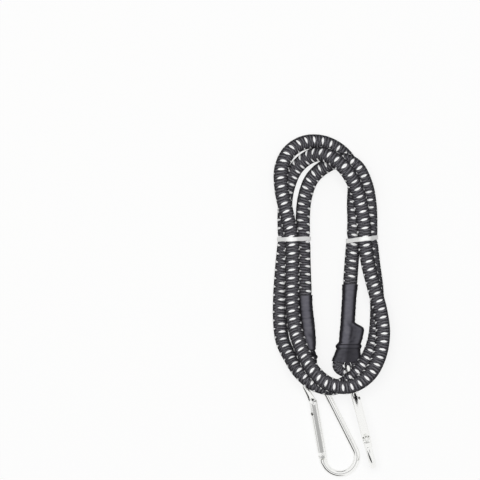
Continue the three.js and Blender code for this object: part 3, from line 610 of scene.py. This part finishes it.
def legs_at(eye, distance):
    """The cord's legs where they cross a plane square to an eye: their places in it and their radii."""
    side = np.cross(eye["along"], (0, 0, 1))
    offset = cord_line - eye["wire"]
    ahead = offset @ eye["along"] + distance
    half = np.arange(len(cord_line)) < len(cord_line) / 2
    near = (np.hypot(offset @ side, offset[:, 2]) < LEG_REACH) & (half == (eye is EYES[0]))
    legs = []
    for i in np.nonzero(near[1:] & (ahead[1:] * ahead[:-1] <= 0) & (ahead[1:] != ahead[:-1]))[0]:
        point = offset[i] + (offset[i + 1] - offset[i]) * ahead[i] / (ahead[i] - ahead[i + 1])
        slant = np.linalg.norm(offset[i + 1] - offset[i]) / abs(ahead[i + 1] - ahead[i])
        legs.append((point @ side, point[2], cord_radii[i] * slant))
    return np.array(legs)


def drawn_round(circles, gap, count):
    """A line drawn tight round circles at a gap, as evenly spaced points, and the way out at each point."""
    turn = np.linspace(0, 2 * math.pi, WAYS_TRIED)
    out = np.stack([np.cos(turn), np.sin(turn)], axis=1)
    reach = circles[:, :2] @ out.T + circles[:, 2:]
    furthest = circles[np.argmax(reach, axis=0)]
    line = furthest[:, :2] + (furthest[:, 2:] + gap) * out
    run = runs_along(line)
    even = np.arange(count) / count * run[-1]
    points = np.stack([np.interp(even, run, line[:, k]) for k in (0, 1)], axis=1)
    lean = np.roll(points, -1, axis=0) - np.roll(points, 1, axis=0)
    ways = np.stack([lean[:, 1], -lean[:, 0]], axis=1)
    return points, ways / np.linalg.norm(ways, axis=1)[:, None]


def stand_off(points, legs, gap):
    """How far each point of the film still is from lying on a leg."""
    from_legs = [np.hypot(*(points - leg[:2]).T) - leg[2] - gap for leg in legs]
    return np.maximum(np.min(from_legs, axis=0), 0)


def legs_in_film(eye, distance):
    """The legs that the film is drawn round at a distance behind the wire. It closes past the cut tail,
    and at the clamp ring it spans the ring's own place too."""
    last = eye["tail"] - CLEARANCE
    legs = legs_at(eye, min(distance, last))
    if distance > last:
        main = legs_at(eye, distance)[0]
        tail = max(legs, key=lambda leg: np.hypot(*(leg[:2] - main[:2])))
        close = eased(distance, last, FIN_RUN)
        tail = np.array([*(tail[:2] + (main[:2] - tail[:2]) * close), tail[2] * (1 - close * FIN_TAPER)])
        legs = np.array([main, tail])
    if abs(distance - RING_SEAT) < RING_WIDTH / 2 + RING_MARGIN:
        ends = RING_SEAT - RING_WIDTH / 2, RING_SEAT + RING_WIDTH / 2
        legs = np.concatenate([legs, *(legs_at(eye, end) for end in ends)])
    return legs


def softened(rows, passes):
    """Rings of the film smoothed between neighbours along it."""
    for _ in range(passes):
        rows[1:-1] = (rows[:-2] + 2 * rows[1:-1] + rows[2:]) / 4
    return rows


def film_wall(eye, distances, gap):
    """Rings of the film, in metres: round both legs, sunk between them, and over the clamp ring."""
    sections = [legs_in_film(eye, distance) for distance in distances]
    drawn = [drawn_round(legs, gap, SLEEVE_AROUND) for legs in sections]
    points = softened(np.array([line for line, _ in drawn]), RING_SMOOTH)
    ways = np.array([way for _, way in drawn])
    sunk = np.zeros(points.shape[:2])
    for _ in range(FILM_PASSES):
        sinking = points - ways * sunk[..., None]
        off = np.array([stand_off(line, legs, gap) for line, legs in zip(sinking, sections)])
        sunk += FILM_CLING * off
    from_ring = abs(distances - RING_SEAT) - RING_WIDTH / 2
    loose = np.where(distances < RING_SEAT, MOUTH_SINK, FILM_SINK)
    loose = loose * eased(from_ring, RING_WIDTH / 2, RING_WIDTH)
    sunk = np.minimum(sunk, loose[:, None])
    for _ in range(SMOOTH_AROUND):
        sunk = (np.roll(sunk, 1, 1) + 2 * sunk + np.roll(sunk, -1, 1)) / 4
    sunk = softened(sunk, SMOOTH_ALONG)
    height = RING_RISE / (1 + np.exp(from_ring / RING_BLEND))
    height -= CREASE_DEPTH * np.exp(-((from_ring - CREASE_WIDTH) / CREASE_WIDTH) ** 2)
    height += sum(h * np.sin(2 * math.pi * distances / s + start) for h, s, start in RIPPLES)
    height -= FILM_PINCH * np.exp((distances - distances.max()) / PINCH_RUN)
    points = points + ways * (height[:, None] - sunk)[..., None]
    lip = MOUTH_LIP * sunk / MOUTH_SINK * np.exp((SLEEVE_MOUTH - distances) / LIP_RUN)[:, None]
    side = np.cross(eye["along"], (0, 0, 1))
    rings = eye["wire"] + eye["along"] * (lip - distances[:, None])[..., None]
    rings = rings + points[..., :1] * side + points[..., 1:] * np.array((0, 0, 1))
    rings[..., 2] = np.maximum(rings[..., 2], FLOOR_GAP)
    return rings * MM


# Shrunk polyolefin: satin dark grey film with a faint haze, with painted top light paler where it faces up,
# and painted shade dark on its sides, over the cut tail's fin and towards the mouth
film, tree = new_material("polyolefin_shrink_film")
place = add(tree, "ShaderNodeTexCoord").outputs["Object"]
squeezed = add(tree, "ShaderNodeMapping", {"Vector": place, "Scale": (1, 2.5, 1)})
haze = add(tree, "ShaderNodeTexNoise", {"Vector": squeezed, "Scale": 1 / (4 * MM), "Detail": 4})
tone = add(tree, "ShaderNodeValToRGB", {0: haze}, [(0.3, linear("#62616a")), (0.7, linear("#706f76"))])
# Painted top light: paler where the film faces up
film_top_light = add(tree, "ShaderNodeMapRange", {"Value": facing_up(tree), "From Min": 0.7, "From Max": 0.97},
             interpolation_type="SMOOTHSTEP")
surface = add(tree, "ShaderNodeSeparateXYZ", {0: add(tree, "ShaderNodeTexCoord").outputs["UV"]})
# Painted shade towards the mouth: less of the painted top light there
mouth_shade = add(tree, "ShaderNodeMapRange", {"Value": surface.outputs["Y"], "From Min": MOUTH_SHADE_RUN[0],
                                           "From Max": MOUTH_SHADE_RUN[1], "To Min": 0.45})
film_top_light = add(tree, "ShaderNodeMath", {0: film_top_light, 1: mouth_shade}, operation="MULTIPLY")
# Painted shade over the cut tail's fin: less of the painted top light there, until the film is past the tail
fin_shade = add(tree, "ShaderNodeValToRGB", {0: surface.outputs["X"]},
            [(around, (share, share, share, 1)) for around, share in FIN_SHADE_SHARES])
past_tail = add(tree, "ShaderNodeMapRange",
                {"Value": surface.outputs["Y"], "From Min": FIN_SHADE_END[0], "From Max": FIN_SHADE_END[1]})
fin_shade = add(tree, "ShaderNodeMix", {0: past_tail, 2: fin_shade, 3: 1})
film_top_light = add(tree, "ShaderNodeMath", {0: film_top_light, 1: fin_shade}, operation="MULTIPLY")
# Painted light and shade: the haze tone where the top light is painted, dark grey where shade is painted
tone = add(tree, "ShaderNodeMix", {0: film_top_light, 6: linear("#2e2d31"), 7: tone}, data_type="RGBA")
satin = add(tree, "ShaderNodeMapRange", {"Value": haze, "To Min": 0.35, "To Max": 0.55})
grain = add(tree, "ShaderNodeTexNoise", {"Vector": place, "Scale": 1 / (0.8 * MM), "Detail": 2})
bump = add(tree, "ShaderNodeBump", {"Height": grain, "Strength": 0.15, "Distance": 0.1 * MM})
polyolefin = add(tree, "ShaderNodeBsdfPrincipled",
                 {"Base Color": tone.outputs[2], "Roughness": satin, "IOR": 1.5,
                  "Specular IOR Level": 0, "Normal": bump})
add(tree, "ShaderNodeOutputMaterial", {"Surface": polyolefin})

for number, (eye, cut_end) in enumerate(zip(EYES, (cord_line[0], cord_line[-1])), 1):
    eye["tail"] = (eye["wire"] - cut_end) @ eye["along"]
    distances = np.linspace(SLEEVE_MOUTH, SLEEVE_MOUTH + SLEEVE_LENGTH, round(SLEEVE_LENGTH / SLEEVE_STEP))
    walls = film_wall(eye, distances, FILM_GAP + SLEEVE_WALL), film_wall(eye, distances, FILM_GAP)[::-1]
    finished(f"film_sleeve_{number}", skin(np.concatenate(walls), True), film, "hank", "shrink_film",
             f"shrink_sleeve_{number}")


# Ties: white plastic bands drawn round the three strands at either side of the waist and welded shut.
# They are drawn tight, so they press into the strands, and are a little wavy where they were pulled.
TIE_WIDTH = 2.2
TIE_THICKNESS = 0.8
TIE_GAP = 0.05
TIE_TILT = {"left": 0.03, "right": 0.12}
TIE_AROUND = 120
TIE_SIDES = 16
TIE_WAVE = 0.06
TIE_SWAYS = [(3, 1, 1), (7, 2, 0.6)]    # waves sideways round a tie: their count, start and share
TIE_SWELL = (5, 3)                      # and waves in its width: their count and start
TIE_SQUARENESS = 0.55     # 1 would be an ellipse; less is nearer to a flat band with round edges

# Drawn polyethylene: white and waxy, with a soft gloss and faint clouds where it was stretched
plastic, tree = new_material("white_polyethylene")
place = add(tree, "ShaderNodeTexCoord").outputs["Object"]
cloud = add(tree, "ShaderNodeTexNoise", {"Vector": place, "Scale": 1 / (2.5 * MM), "Detail": 3})
tone = add(tree, "ShaderNodeValToRGB", {0: cloud}, [(0, linear("#f8f8f6")), (1, linear("#ffffff"))])
drawn = add(tree, "ShaderNodeMapRange", {"Value": cloud, "To Min": 0.3, "To Max": 0.5})
bump = add(tree, "ShaderNodeBump", {"Height": cloud, "Strength": 0.25, "Distance": 0.15 * MM})
polyethylene = add(tree, "ShaderNodeBsdfPrincipled",
                   {"Base Color": tone, "Roughness": drawn, "IOR": 1.51, "Normal": bump})
add(tree, "ShaderNodeOutputMaterial", {"Surface": polyethylene})

for name, sign in (("left", -1), ("right", 1)):
    ahead = cord_line[:, 1] - TIE_Y
    crossed = np.nonzero((ahead[1:] * ahead[:-1] <= 0) & (cord_line[1:, 0] * sign > 0))[0]
    circles = np.array([(*cord_line[i, [0, 2]], cord_radii[i]) for i in crossed])
    points, ways = drawn_round(circles, TIE_GAP + TIE_THICKNESS / 2, TIE_AROUND)
    middle = circles[:, 0].mean()
    section = full_turn(TIE_SIDES)
    wide = np.sign(np.cos(section)) * np.abs(np.cos(section)) ** TIE_SQUARENESS * TIE_WIDTH / 2
    thick = np.sign(np.sin(section)) * np.abs(np.sin(section)) ** TIE_SQUARENESS * TIE_THICKNESS / 2
    rings = []
    for turn, point, way in zip(full_turn(TIE_AROUND), points, ways):
        sway = TIE_WAVE * sum(share * math.sin(n * turn + start * sign) for n, start, share in TIE_SWAYS)
        swell = 1 + TIE_WAVE * math.sin(TIE_SWELL[0] * turn + TIE_SWELL[1] * sign)
        x = point[0] + thick * way[0]
        y = TIE_Y + (point[0] - middle) * TIE_TILT[name] + sway + wide * swell
        rings.append(np.stack([x, y, np.maximum(point[1] + thick * way[1], FLOOR_GAP)], axis=1) * MM)
    finished(f"waist_tie_{name}", skin(np.array(rings), True), plastic, "hank", "white_tie", f"tie_{name}")


# Clip frames: one length of drawn steel wire bent round a narrow end and a wide end, its ends pressed flat
# to a hinge tongue and a latch tongue, then nickel plated. Sizes are in the clip's own plane, in millimetres.
CLIPS = ("clip_1", "clip_2")
EYE_PLAY = 0.05          # between the eye's cord and the narrow end, past the clearance
NARROW_RADIUS = WIRE_RADIUS + EYE_CORD_RADIUS + CLEARANCE + EYE_PLAY
WIDE_RADIUS = 8.5
CLIP_LENGTH = 55
NOSE_TURN = 110
BEAD_TURN = 14           # degrees of the nose that are upset to a bead
BEAD_SWELL = 1.18
# Degrees of each step along the bead, and how much the wire grows in it
BEAD_STEPS = [(1.0, BEAD_SWELL), (BEAD_TURN - 2.2, 1), (1.2, 0.96 / BEAD_SWELL)]
HINGE_REACH = 14.2
NECK = 1.5               # of the hinge end, over which the round wire narrows to its tongue
NOSE_NECK = 0.5          # the same at the nose
GATE_RADIUS = 2.3
GATE_END_GAP = 0.4
TONGUE_THICKNESS = 1.3
TONGUE_RADIUS = 1.9
NOSE_RADIUS = 1.5
LATCH_SETBACK = 2.6
PIN_RADIUS = 0.7
LATCH_PIN_RADIUS = 0.6
WIRE_AROUND = 28
NARROW_STEPS = 28        # of the wire round the bends
WIDE_STEPS = 44
END_TURNS = np.radians((0, 20, 40, 58, 72, 82))    # of the rims in a tongue's round end
PIN_AROUND = 28
HOLE_REACH = 3           # of the rods that cut the pins' holes, to both sides of the clip's plane

narrow_middle = Vector((WIRE_RADIUS + NARROW_RADIUS, NARROW_RADIUS, 0))
wide_middle = Vector((CLIP_LENGTH - WIRE_RADIUS - WIDE_RADIUS, WIDE_RADIUS, 0))
hinge = Vector((HINGE_REACH, 2 * NARROW_RADIUS, 0))
nose_way = Vector((math.cos(math.radians(NOSE_TURN)), math.sin(math.radians(NOSE_TURN)), 0))
nose_tip = wide_middle + nose_way * WIDE_RADIUS
gate_turn = math.atan2(nose_tip.y - hinge.y, nose_tip.x - hinge.x)
gate_reach = (nose_tip - hinge).length
latch_reach = gate_reach - LATCH_SETBACK
wire_end = HINGE_REACH - GATE_RADIUS - 2 * CLEARANCE - NECK
gate_way = (nose_tip - hinge).normalized()

# Bright nickel: a nearly white mirror, a little blurred in patches of wear, over the faint marks of the
# drawn wire, which are coarser than real so that they show
nickel, tree = new_material("bright_nickel_plate")
place = add(tree, "ShaderNodeTexCoord").outputs["Object"]
wear = add(tree, "ShaderNodeTexNoise", {"Vector": place, "Scale": 1 / (6 * MM), "Detail": 5})
gloss = add(tree, "ShaderNodeMapRange", {"Value": wear, "From Min": 0.3, "From Max": 0.7,
                                         "To Min": 0.09, "To Max": 0.2})
draw_marks = add(tree, "ShaderNodeTexNoise", {"Vector": place, "Scale": 1 / (0.7 * MM), "Detail": 2})
bump = add(tree, "ShaderNodeBump", {"Height": draw_marks, "Strength": 0.06, "Distance": 0.1 * MM})
plate = add(tree, "ShaderNodeBsdfPrincipled",
            {"Base Color": linear("#f5f5f3"), "Metallic": 1, "Roughness": gloss, "Normal": bump})
add(tree, "ShaderNodeOutputMaterial", {"Surface": plate})


def gate_frame(name):
    """A gate's own axes in the row frame, in millimetres: x along it from the hinge pin, y outwards and z on
    the pin."""
    x = Vector(joints[f"{name}_plunger_slide"]["axis"])
    z = -Vector(joints[f"{name}_gate_hinge"]["axis"])
    axes = Matrix((x, z.cross(x), z)).transposed().to_4x4()
    place = Matrix.Translation(Vector(joints[f"{name}_gate_hinge"]["pos_m"]))
    return place @ axes @ Matrix.Scale(MM, 4)


def clip_frame(name):
    """A clip's own axes: x from the narrow tip to the wide end, y from the spine to the gate."""
    return gate_frame(name) @ Matrix.Rotation(-gate_turn, 4, "Z") @ Matrix.Translation(-hinge)


def drawn_on(shape, rim, matrix):
    """Extrudes a rim of edges and moves the new rim by a matrix."""
    made = bmesh.ops.extrude_edge_only(shape, edges=rim)["geom"]
    bmesh.ops.transform(shape, matrix=matrix, verts=[g for g in made if isinstance(g, bmesh.types.BMVert)])
    return [g for g in made if isinstance(g, bmesh.types.BMEdge) and g.is_boundary]


def bent_on(shape, rim, middle, degrees, steps):
    """Carries a rim of edges round a bend in the clip's plane."""
    verts = list({v for e in rim for v in e.verts})
    made = bmesh.ops.spin(shape, geom=rim + verts, cent=middle, axis=(0, 0, 1), angle=math.radians(degrees),
                          steps=steps, use_duplicate=False)["geom_last"]
    return [g for g in made if isinstance(g, bmesh.types.BMEdge)]


def about(point, matrix):
    """A matrix that acts about a point."""
    return Matrix.Translation(point) @ matrix @ Matrix.Translation(-Vector(point))


def tongue(shape, rim, start, turn, steps):
    """Presses a wire's end flat: steps are (reach past the start, half width, half thickness) of each rim."""
    to_start = Matrix.Translation(start) @ Matrix.Rotation(turn, 4, "Z")
    now = (0, WIRE_RADIUS, WIRE_RADIUS)
    for step in steps:
        grow = Matrix.Diagonal((1, step[1] / now[1], step[2] / now[2], 1))
        move = Matrix.Translation((step[0] - now[0], 0, 0)) @ about((now[0], 0, 0), grow)
        rim = drawn_on(shape, rim, to_start @ move @ to_start.inverted())
        now = step
    bmesh.ops.contextual_create(shape, geom=rim)


def rounded_end(reach, radius, half, back):
    """Rims that close a tongue with a round end about a point at a reach, from a narrower back."""
    return [back] + [(reach + radius * math.sin(t), radius * math.cos(t), half) for t in END_TURNS]


def wire_frame():
    """A clip's bent wire in its own axes, from the hinge tongue round to the latch tongue."""
    shape = bmesh.new()
    across = Matrix.Translation((wire_end, hinge.y, 0)) @ Matrix.Rotation(math.pi / 2, 4, "Y")
    bmesh.ops.create_circle(shape, cap_ends=False, segments=WIRE_AROUND, radius=WIRE_RADIUS, matrix=across)
    rim = drawn_on(shape, list(shape.edges), Matrix.Translation((narrow_middle.x - wire_end, 0, 0)))
    rim = bent_on(shape, rim, narrow_middle, 180, NARROW_STEPS)
    rim = drawn_on(shape, rim, Matrix.Translation((wide_middle.x - narrow_middle.x, 0, 0)))
    rim = bent_on(shape, rim, wide_middle, 90 + NOSE_TURN - BEAD_TURN, WIDE_STEPS)
    half = TONGUE_THICKNESS / 2
    for turn, grow in BEAD_STEPS:
        middle = sum((v.co for e in rim for v in e.verts), Vector()) / (2 * len(rim))
        bend = about(wide_middle, Matrix.Rotation(math.radians(turn), 4, "Z"))
        rim = drawn_on(shape, rim, bend @ about(middle, Matrix.Scale(grow, 4)))
    nose_steps = rounded_end(LATCH_SETBACK, NOSE_RADIUS, half, (NOSE_NECK, NOSE_RADIUS, half))
    tongue(shape, rim, nose_tip, gate_turn + math.pi, nose_steps)
    hinge_rim = [e for e in shape.edges if e.is_boundary]
    hinge_steps = rounded_end(HINGE_REACH - wire_end, TONGUE_RADIUS, half, (NECK, WIRE_RADIUS, half))
    tongue(shape, hinge_rim, Vector((wire_end, hinge.y, 0)), 0, hinge_steps)
    bmesh.ops.recalc_face_normals(shape, faces=shape.faces)
    return shape


def cut(shape, tools):
    """The shape with the tools taken away."""
    made = [placed("cutting", part) for part in (shape, *tools)]
    for tool in made[1:]:
        modifier = made[0].modifiers.new("cut", "BOOLEAN")
        modifier.operation = "DIFFERENCE"
        modifier.solver = "EXACT"
        modifier.object = tool
    left = bpy.data.meshes.new_from_object(made[0].evaluated_get(bpy.context.evaluated_depsgraph_get()))
    result = bmesh.new()
    result.from_mesh(left)
    bpy.data.meshes.remove(left)
    for holder in made:
        mesh = holder.data
        bpy.data.objects.remove(holder)
        bpy.data.meshes.remove(mesh)
    return result


def rod(radius, start, end, around):
    """A rod between two points."""
    shape = bmesh.new()
    way = Vector(end) - Vector(start)
    turned = way.to_track_quat("Z", "Y").to_matrix().to_4x4()
    place = Matrix.Translation((Vector(start) + Vector(end)) / 2) @ turned
    bmesh.ops.create_cone(shape, cap_ends=True, segments=around, radius1=radius, radius2=radius,
                          depth=way.length, matrix=place)
    return shape


for name in CLIPS:
    latch = hinge + gate_way * latch_reach
    reach = Vector((0, 0, HOLE_REACH))
    holes = [rod(radius + CLEARANCE, pin - reach, pin + reach, PIN_AROUND)
             for pin, radius in ((hinge, PIN_RADIUS), (latch, LATCH_PIN_RADIUS))]
    shape = cut(wire_frame(), holes)
    bmesh.ops.transform(shape, matrix=clip_frame(name), verts=shape.verts)
    finished(f"{name}_bent_wire", shape, nickel, name, "plated_steel", f"{name}_frame")


# Gates: steel rod, bored for a spring and slotted at both ends, with a flat pressed along each cheek.
# A punched hole in the outer side fixes the spring, and a notch near the end closes on the latch pin.
HINGE_SLOT = 4.2
PLUNGER_TRAVEL = 0.7
PLUNGER_HEAD_RADIUS = 1.0
PLUNGER_HEAD_LENGTH = 1.2
SPRING_LENGTH = 9.6
CRIMP_RADIUS = 0.8
CRIMP_TURN = math.radians(45)     # of the punched hole, up from the gate's outer side
FLAT_HALF_WIDTH = 0.9
BORE_LEAD = 1                     # by which the bore's cut starts in the hinge slot
GATE_AROUND = 48
GATE_EDGE = 0.25
BROKEN_EDGE = 0.1                 # taken off every sharp edge
SHARP_TURN = math.radians(40)     # past which an edge counts as sharp
MEETING = 1e-5                    # within which the ends of a turned outline are merged

gate_end = gate_reach - GATE_END_GAP
slot_half = TONGUE_THICKNESS / 2 + CLEARANCE
plunger_head = HINGE_SLOT + CLEARANCE + PLUNGER_TRAVEL / 2
bore_end = plunger_head + PLUNGER_HEAD_LENGTH + SPRING_LENGTH + 2 * CLEARANCE
flat_level = math.sqrt(GATE_RADIUS ** 2 - FLAT_HALF_WIDTH ** 2)


def lathe(profile, around):
    """A profile of (along, radius) points spun about the x axis."""
    shape = bmesh.new()
    verts = [shape.verts.new((x, r, 0)) for x, r in profile]
    edges = [shape.edges.new(pair) for pair in zip(verts, verts[1:])]
    bmesh.ops.spin(shape, geom=verts + edges, cent=(0, 0, 0), axis=(1, 0, 0), angle=2 * math.pi, steps=around,
                   use_merge=True, use_duplicate=False)
    bmesh.ops.remove_doubles(shape, verts=shape.verts, dist=MEETING)
    bmesh.ops.recalc_face_normals(shape, faces=shape.faces)
    return shape


def box(low, high):
    """A block between two corners."""
    shape = bmesh.new()
    low, high = Vector(low), Vector(high)
    place = Matrix.Translation((low + high) / 2) @ Matrix.Diagonal((*(high - low), 1))
    bmesh.ops.create_cube(shape, size=1, matrix=place)
    return shape


def gate():
    """A gate in its own axes: a turned rod with its slots, notch, bore, holes and flats cut."""
    heel = [(-GATE_RADIUS * math.cos(t), GATE_RADIUS * math.sin(t)) for t in np.radians(range(0, 91, 10))]
    profile = heel + [(gate_end - GATE_EDGE, GATE_RADIUS), (gate_end, GATE_RADIUS - GATE_EDGE), (gate_end, 0)]
    wide = 2 * GATE_RADIUS
    notch = LATCH_PIN_RADIUS + CLEARANCE
    nose_slot = latch_reach - NOSE_RADIUS - 2 * CLEARANCE
    crimp = plunger_head + PLUNGER_HEAD_LENGTH / 2
    crimp_end = (crimp, wide * math.cos(CRIMP_TURN), -wide * math.sin(CRIMP_TURN))
    tools = [
        box((-wide, -wide, -slot_half), (HINGE_SLOT, wide, slot_half)),
        box((nose_slot, -wide, -slot_half), (gate_end + wide, wide, slot_half)),
        box((latch_reach - notch, -notch, -wide), (latch_reach + notch, wide, wide)),
        rod(PIN_RADIUS + CLEARANCE, (0, 0, -wide), (0, 0, wide), PIN_AROUND),
        rod(PLUNGER_HEAD_RADIUS + CLEARANCE, (HINGE_SLOT - BORE_LEAD, 0, 0), (bore_end, 0, 0), PIN_AROUND),
        rod(CRIMP_RADIUS, (crimp, 0, 0), crimp_end, PIN_AROUND),
        box((-wide, -wide, flat_level), (gate_end + wide, wide, wide)),
        box((-wide, -wide, -wide), (gate_end + wide, wide, -flat_level)),
    ]
    return cut(lathe(profile, GATE_AROUND), tools)


for name in CLIPS:
    shape = gate()
    bmesh.ops.transform(shape, matrix=gate_frame(name), verts=shape.verts)
    piece = finished(f"{name}_gate_bar", shape, nickel, f"{name}_gate", "plated_steel", f"{name}_gate",
                     crease=15)
    edges = piece.modifiers.new("broken_edges", "BEVEL")
    edges.width = BROKEN_EDGE * MM
    edges.segments = 2
    edges.limit_method = "ANGLE"
    edges.angle_limit = SHARP_TURN


# Pins: steel rivets, one peened over at both ends through the gate's fork, one through the nose of the wire.
# Both belong to the frame, so the gate turns on the first and closes on the second.
HEAD_RADIUS = 1.1
HEAD_HEIGHT = 0.28
HEAD_RIM = 0.05           # height of a head's upright rim under its dome
LATCH_PIN_LENGTH = 3.8


def domed(reach, radius, height):
    """Half the outline of a shallow dome at the end of a pin, from its rim to its crown."""
    turns = np.radians(range(0, 91, 15))
    return [(reach + height * math.sin(t), radius * math.cos(t)) for t in turns]


for name in CLIPS:
    head = [(flat_level, PIN_RADIUS), (flat_level, HEAD_RADIUS)]
    head += domed(flat_level + HEAD_RIM, HEAD_RADIUS, HEAD_HEIGHT)
    latch_head = domed(LATCH_PIN_LENGTH / 2 - HEAD_HEIGHT, LATCH_PIN_RADIUS, HEAD_HEIGHT)
    for pin, half, along in (("hinge", head, 0), ("latch", latch_head, latch_reach)):
        shape = lathe([(-x, r) for x, r in reversed(half)] + half, PIN_AROUND)
        upright = Matrix.Translation((along, 0, 0)) @ Matrix.Rotation(math.pi / 2, 4, "Y")
        bmesh.ops.transform(shape, matrix=gate_frame(name) @ upright, verts=shape.verts)
        finished(f"{name}_{pin}_rivet", shape, nickel, name, "plated_steel", f"{name}_{pin}_pin")


# Plungers and springs: turned and coiled from oiled spring steel, out of sight in the bore of each gate.
# A plunger keeps its CAD shape. A spring is coiled anew; the real one gets shorter as its plunger is pushed
# in.
SPRING_WIRE_RADIUS = 0.2
SPRING_CURLS = 8
CURL_STEPS = 20
SPRING_AROUND = 8

# Oiled spring steel: half bright, clouded from grey to straw by the heat that tempered it
spring_steel, tree = new_material("oiled_spring_steel")
place = add(tree, "ShaderNodeTexCoord").outputs["Object"]
temper = add(tree, "ShaderNodeTexNoise", {"Vector": place, "Scale": 1 / (2 * MM), "Detail": 3})
tone = add(tree, "ShaderNodeValToRGB", {0: temper}, [(0, linear("#8a867c")), (1, linear("#a9aaac"))])
oiled = add(tree, "ShaderNodeBsdfPrincipled", {"Base Color": tone, "Metallic": 1, "Roughness": 0.32})
add(tree, "ShaderNodeOutputMaterial", {"Surface": oiled})

coil_radius = PLUNGER_HEAD_RADIUS - SPRING_WIRE_RADIUS
coil_end = bore_end - CLEARANCE
coil_steps = SPRING_CURLS * CURL_STEPS
coil_step = (SPRING_LENGTH - 2 * SPRING_WIRE_RADIUS) / coil_steps
for name in CLIPS:
    frame["nodes"][f"{name}_plunger"].material_slots[0].material = spring_steel
    shape = bmesh.new()
    wire_start = Matrix.Translation((coil_end - SPRING_LENGTH + SPRING_WIRE_RADIUS, coil_radius, 0))
    bmesh.ops.create_circle(shape, cap_ends=False, segments=SPRING_AROUND, radius=SPRING_WIRE_RADIUS,
                            matrix=wire_start)
    bmesh.ops.spin(shape, geom=[*shape.verts, *shape.edges], cent=(0, 0, 0), axis=(1, 0, 0),
                   dvec=(coil_step, 0, 0), angle=2 * math.pi * SPRING_CURLS, steps=coil_steps,
                   use_duplicate=False)
    bmesh.ops.holes_fill(shape, edges=[e for e in shape.edges if e.is_boundary], sides=0)
    bmesh.ops.recalc_face_normals(shape, faces=shape.faces)
    bmesh.ops.transform(shape, matrix=gate_frame(name), verts=shape.verts)
    spring = finished(f"{name}_coil_spring", shape, spring_steel, f"{name}_gate", "spring_steel",
                      f"{name}_gate_spring")
    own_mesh(spring)
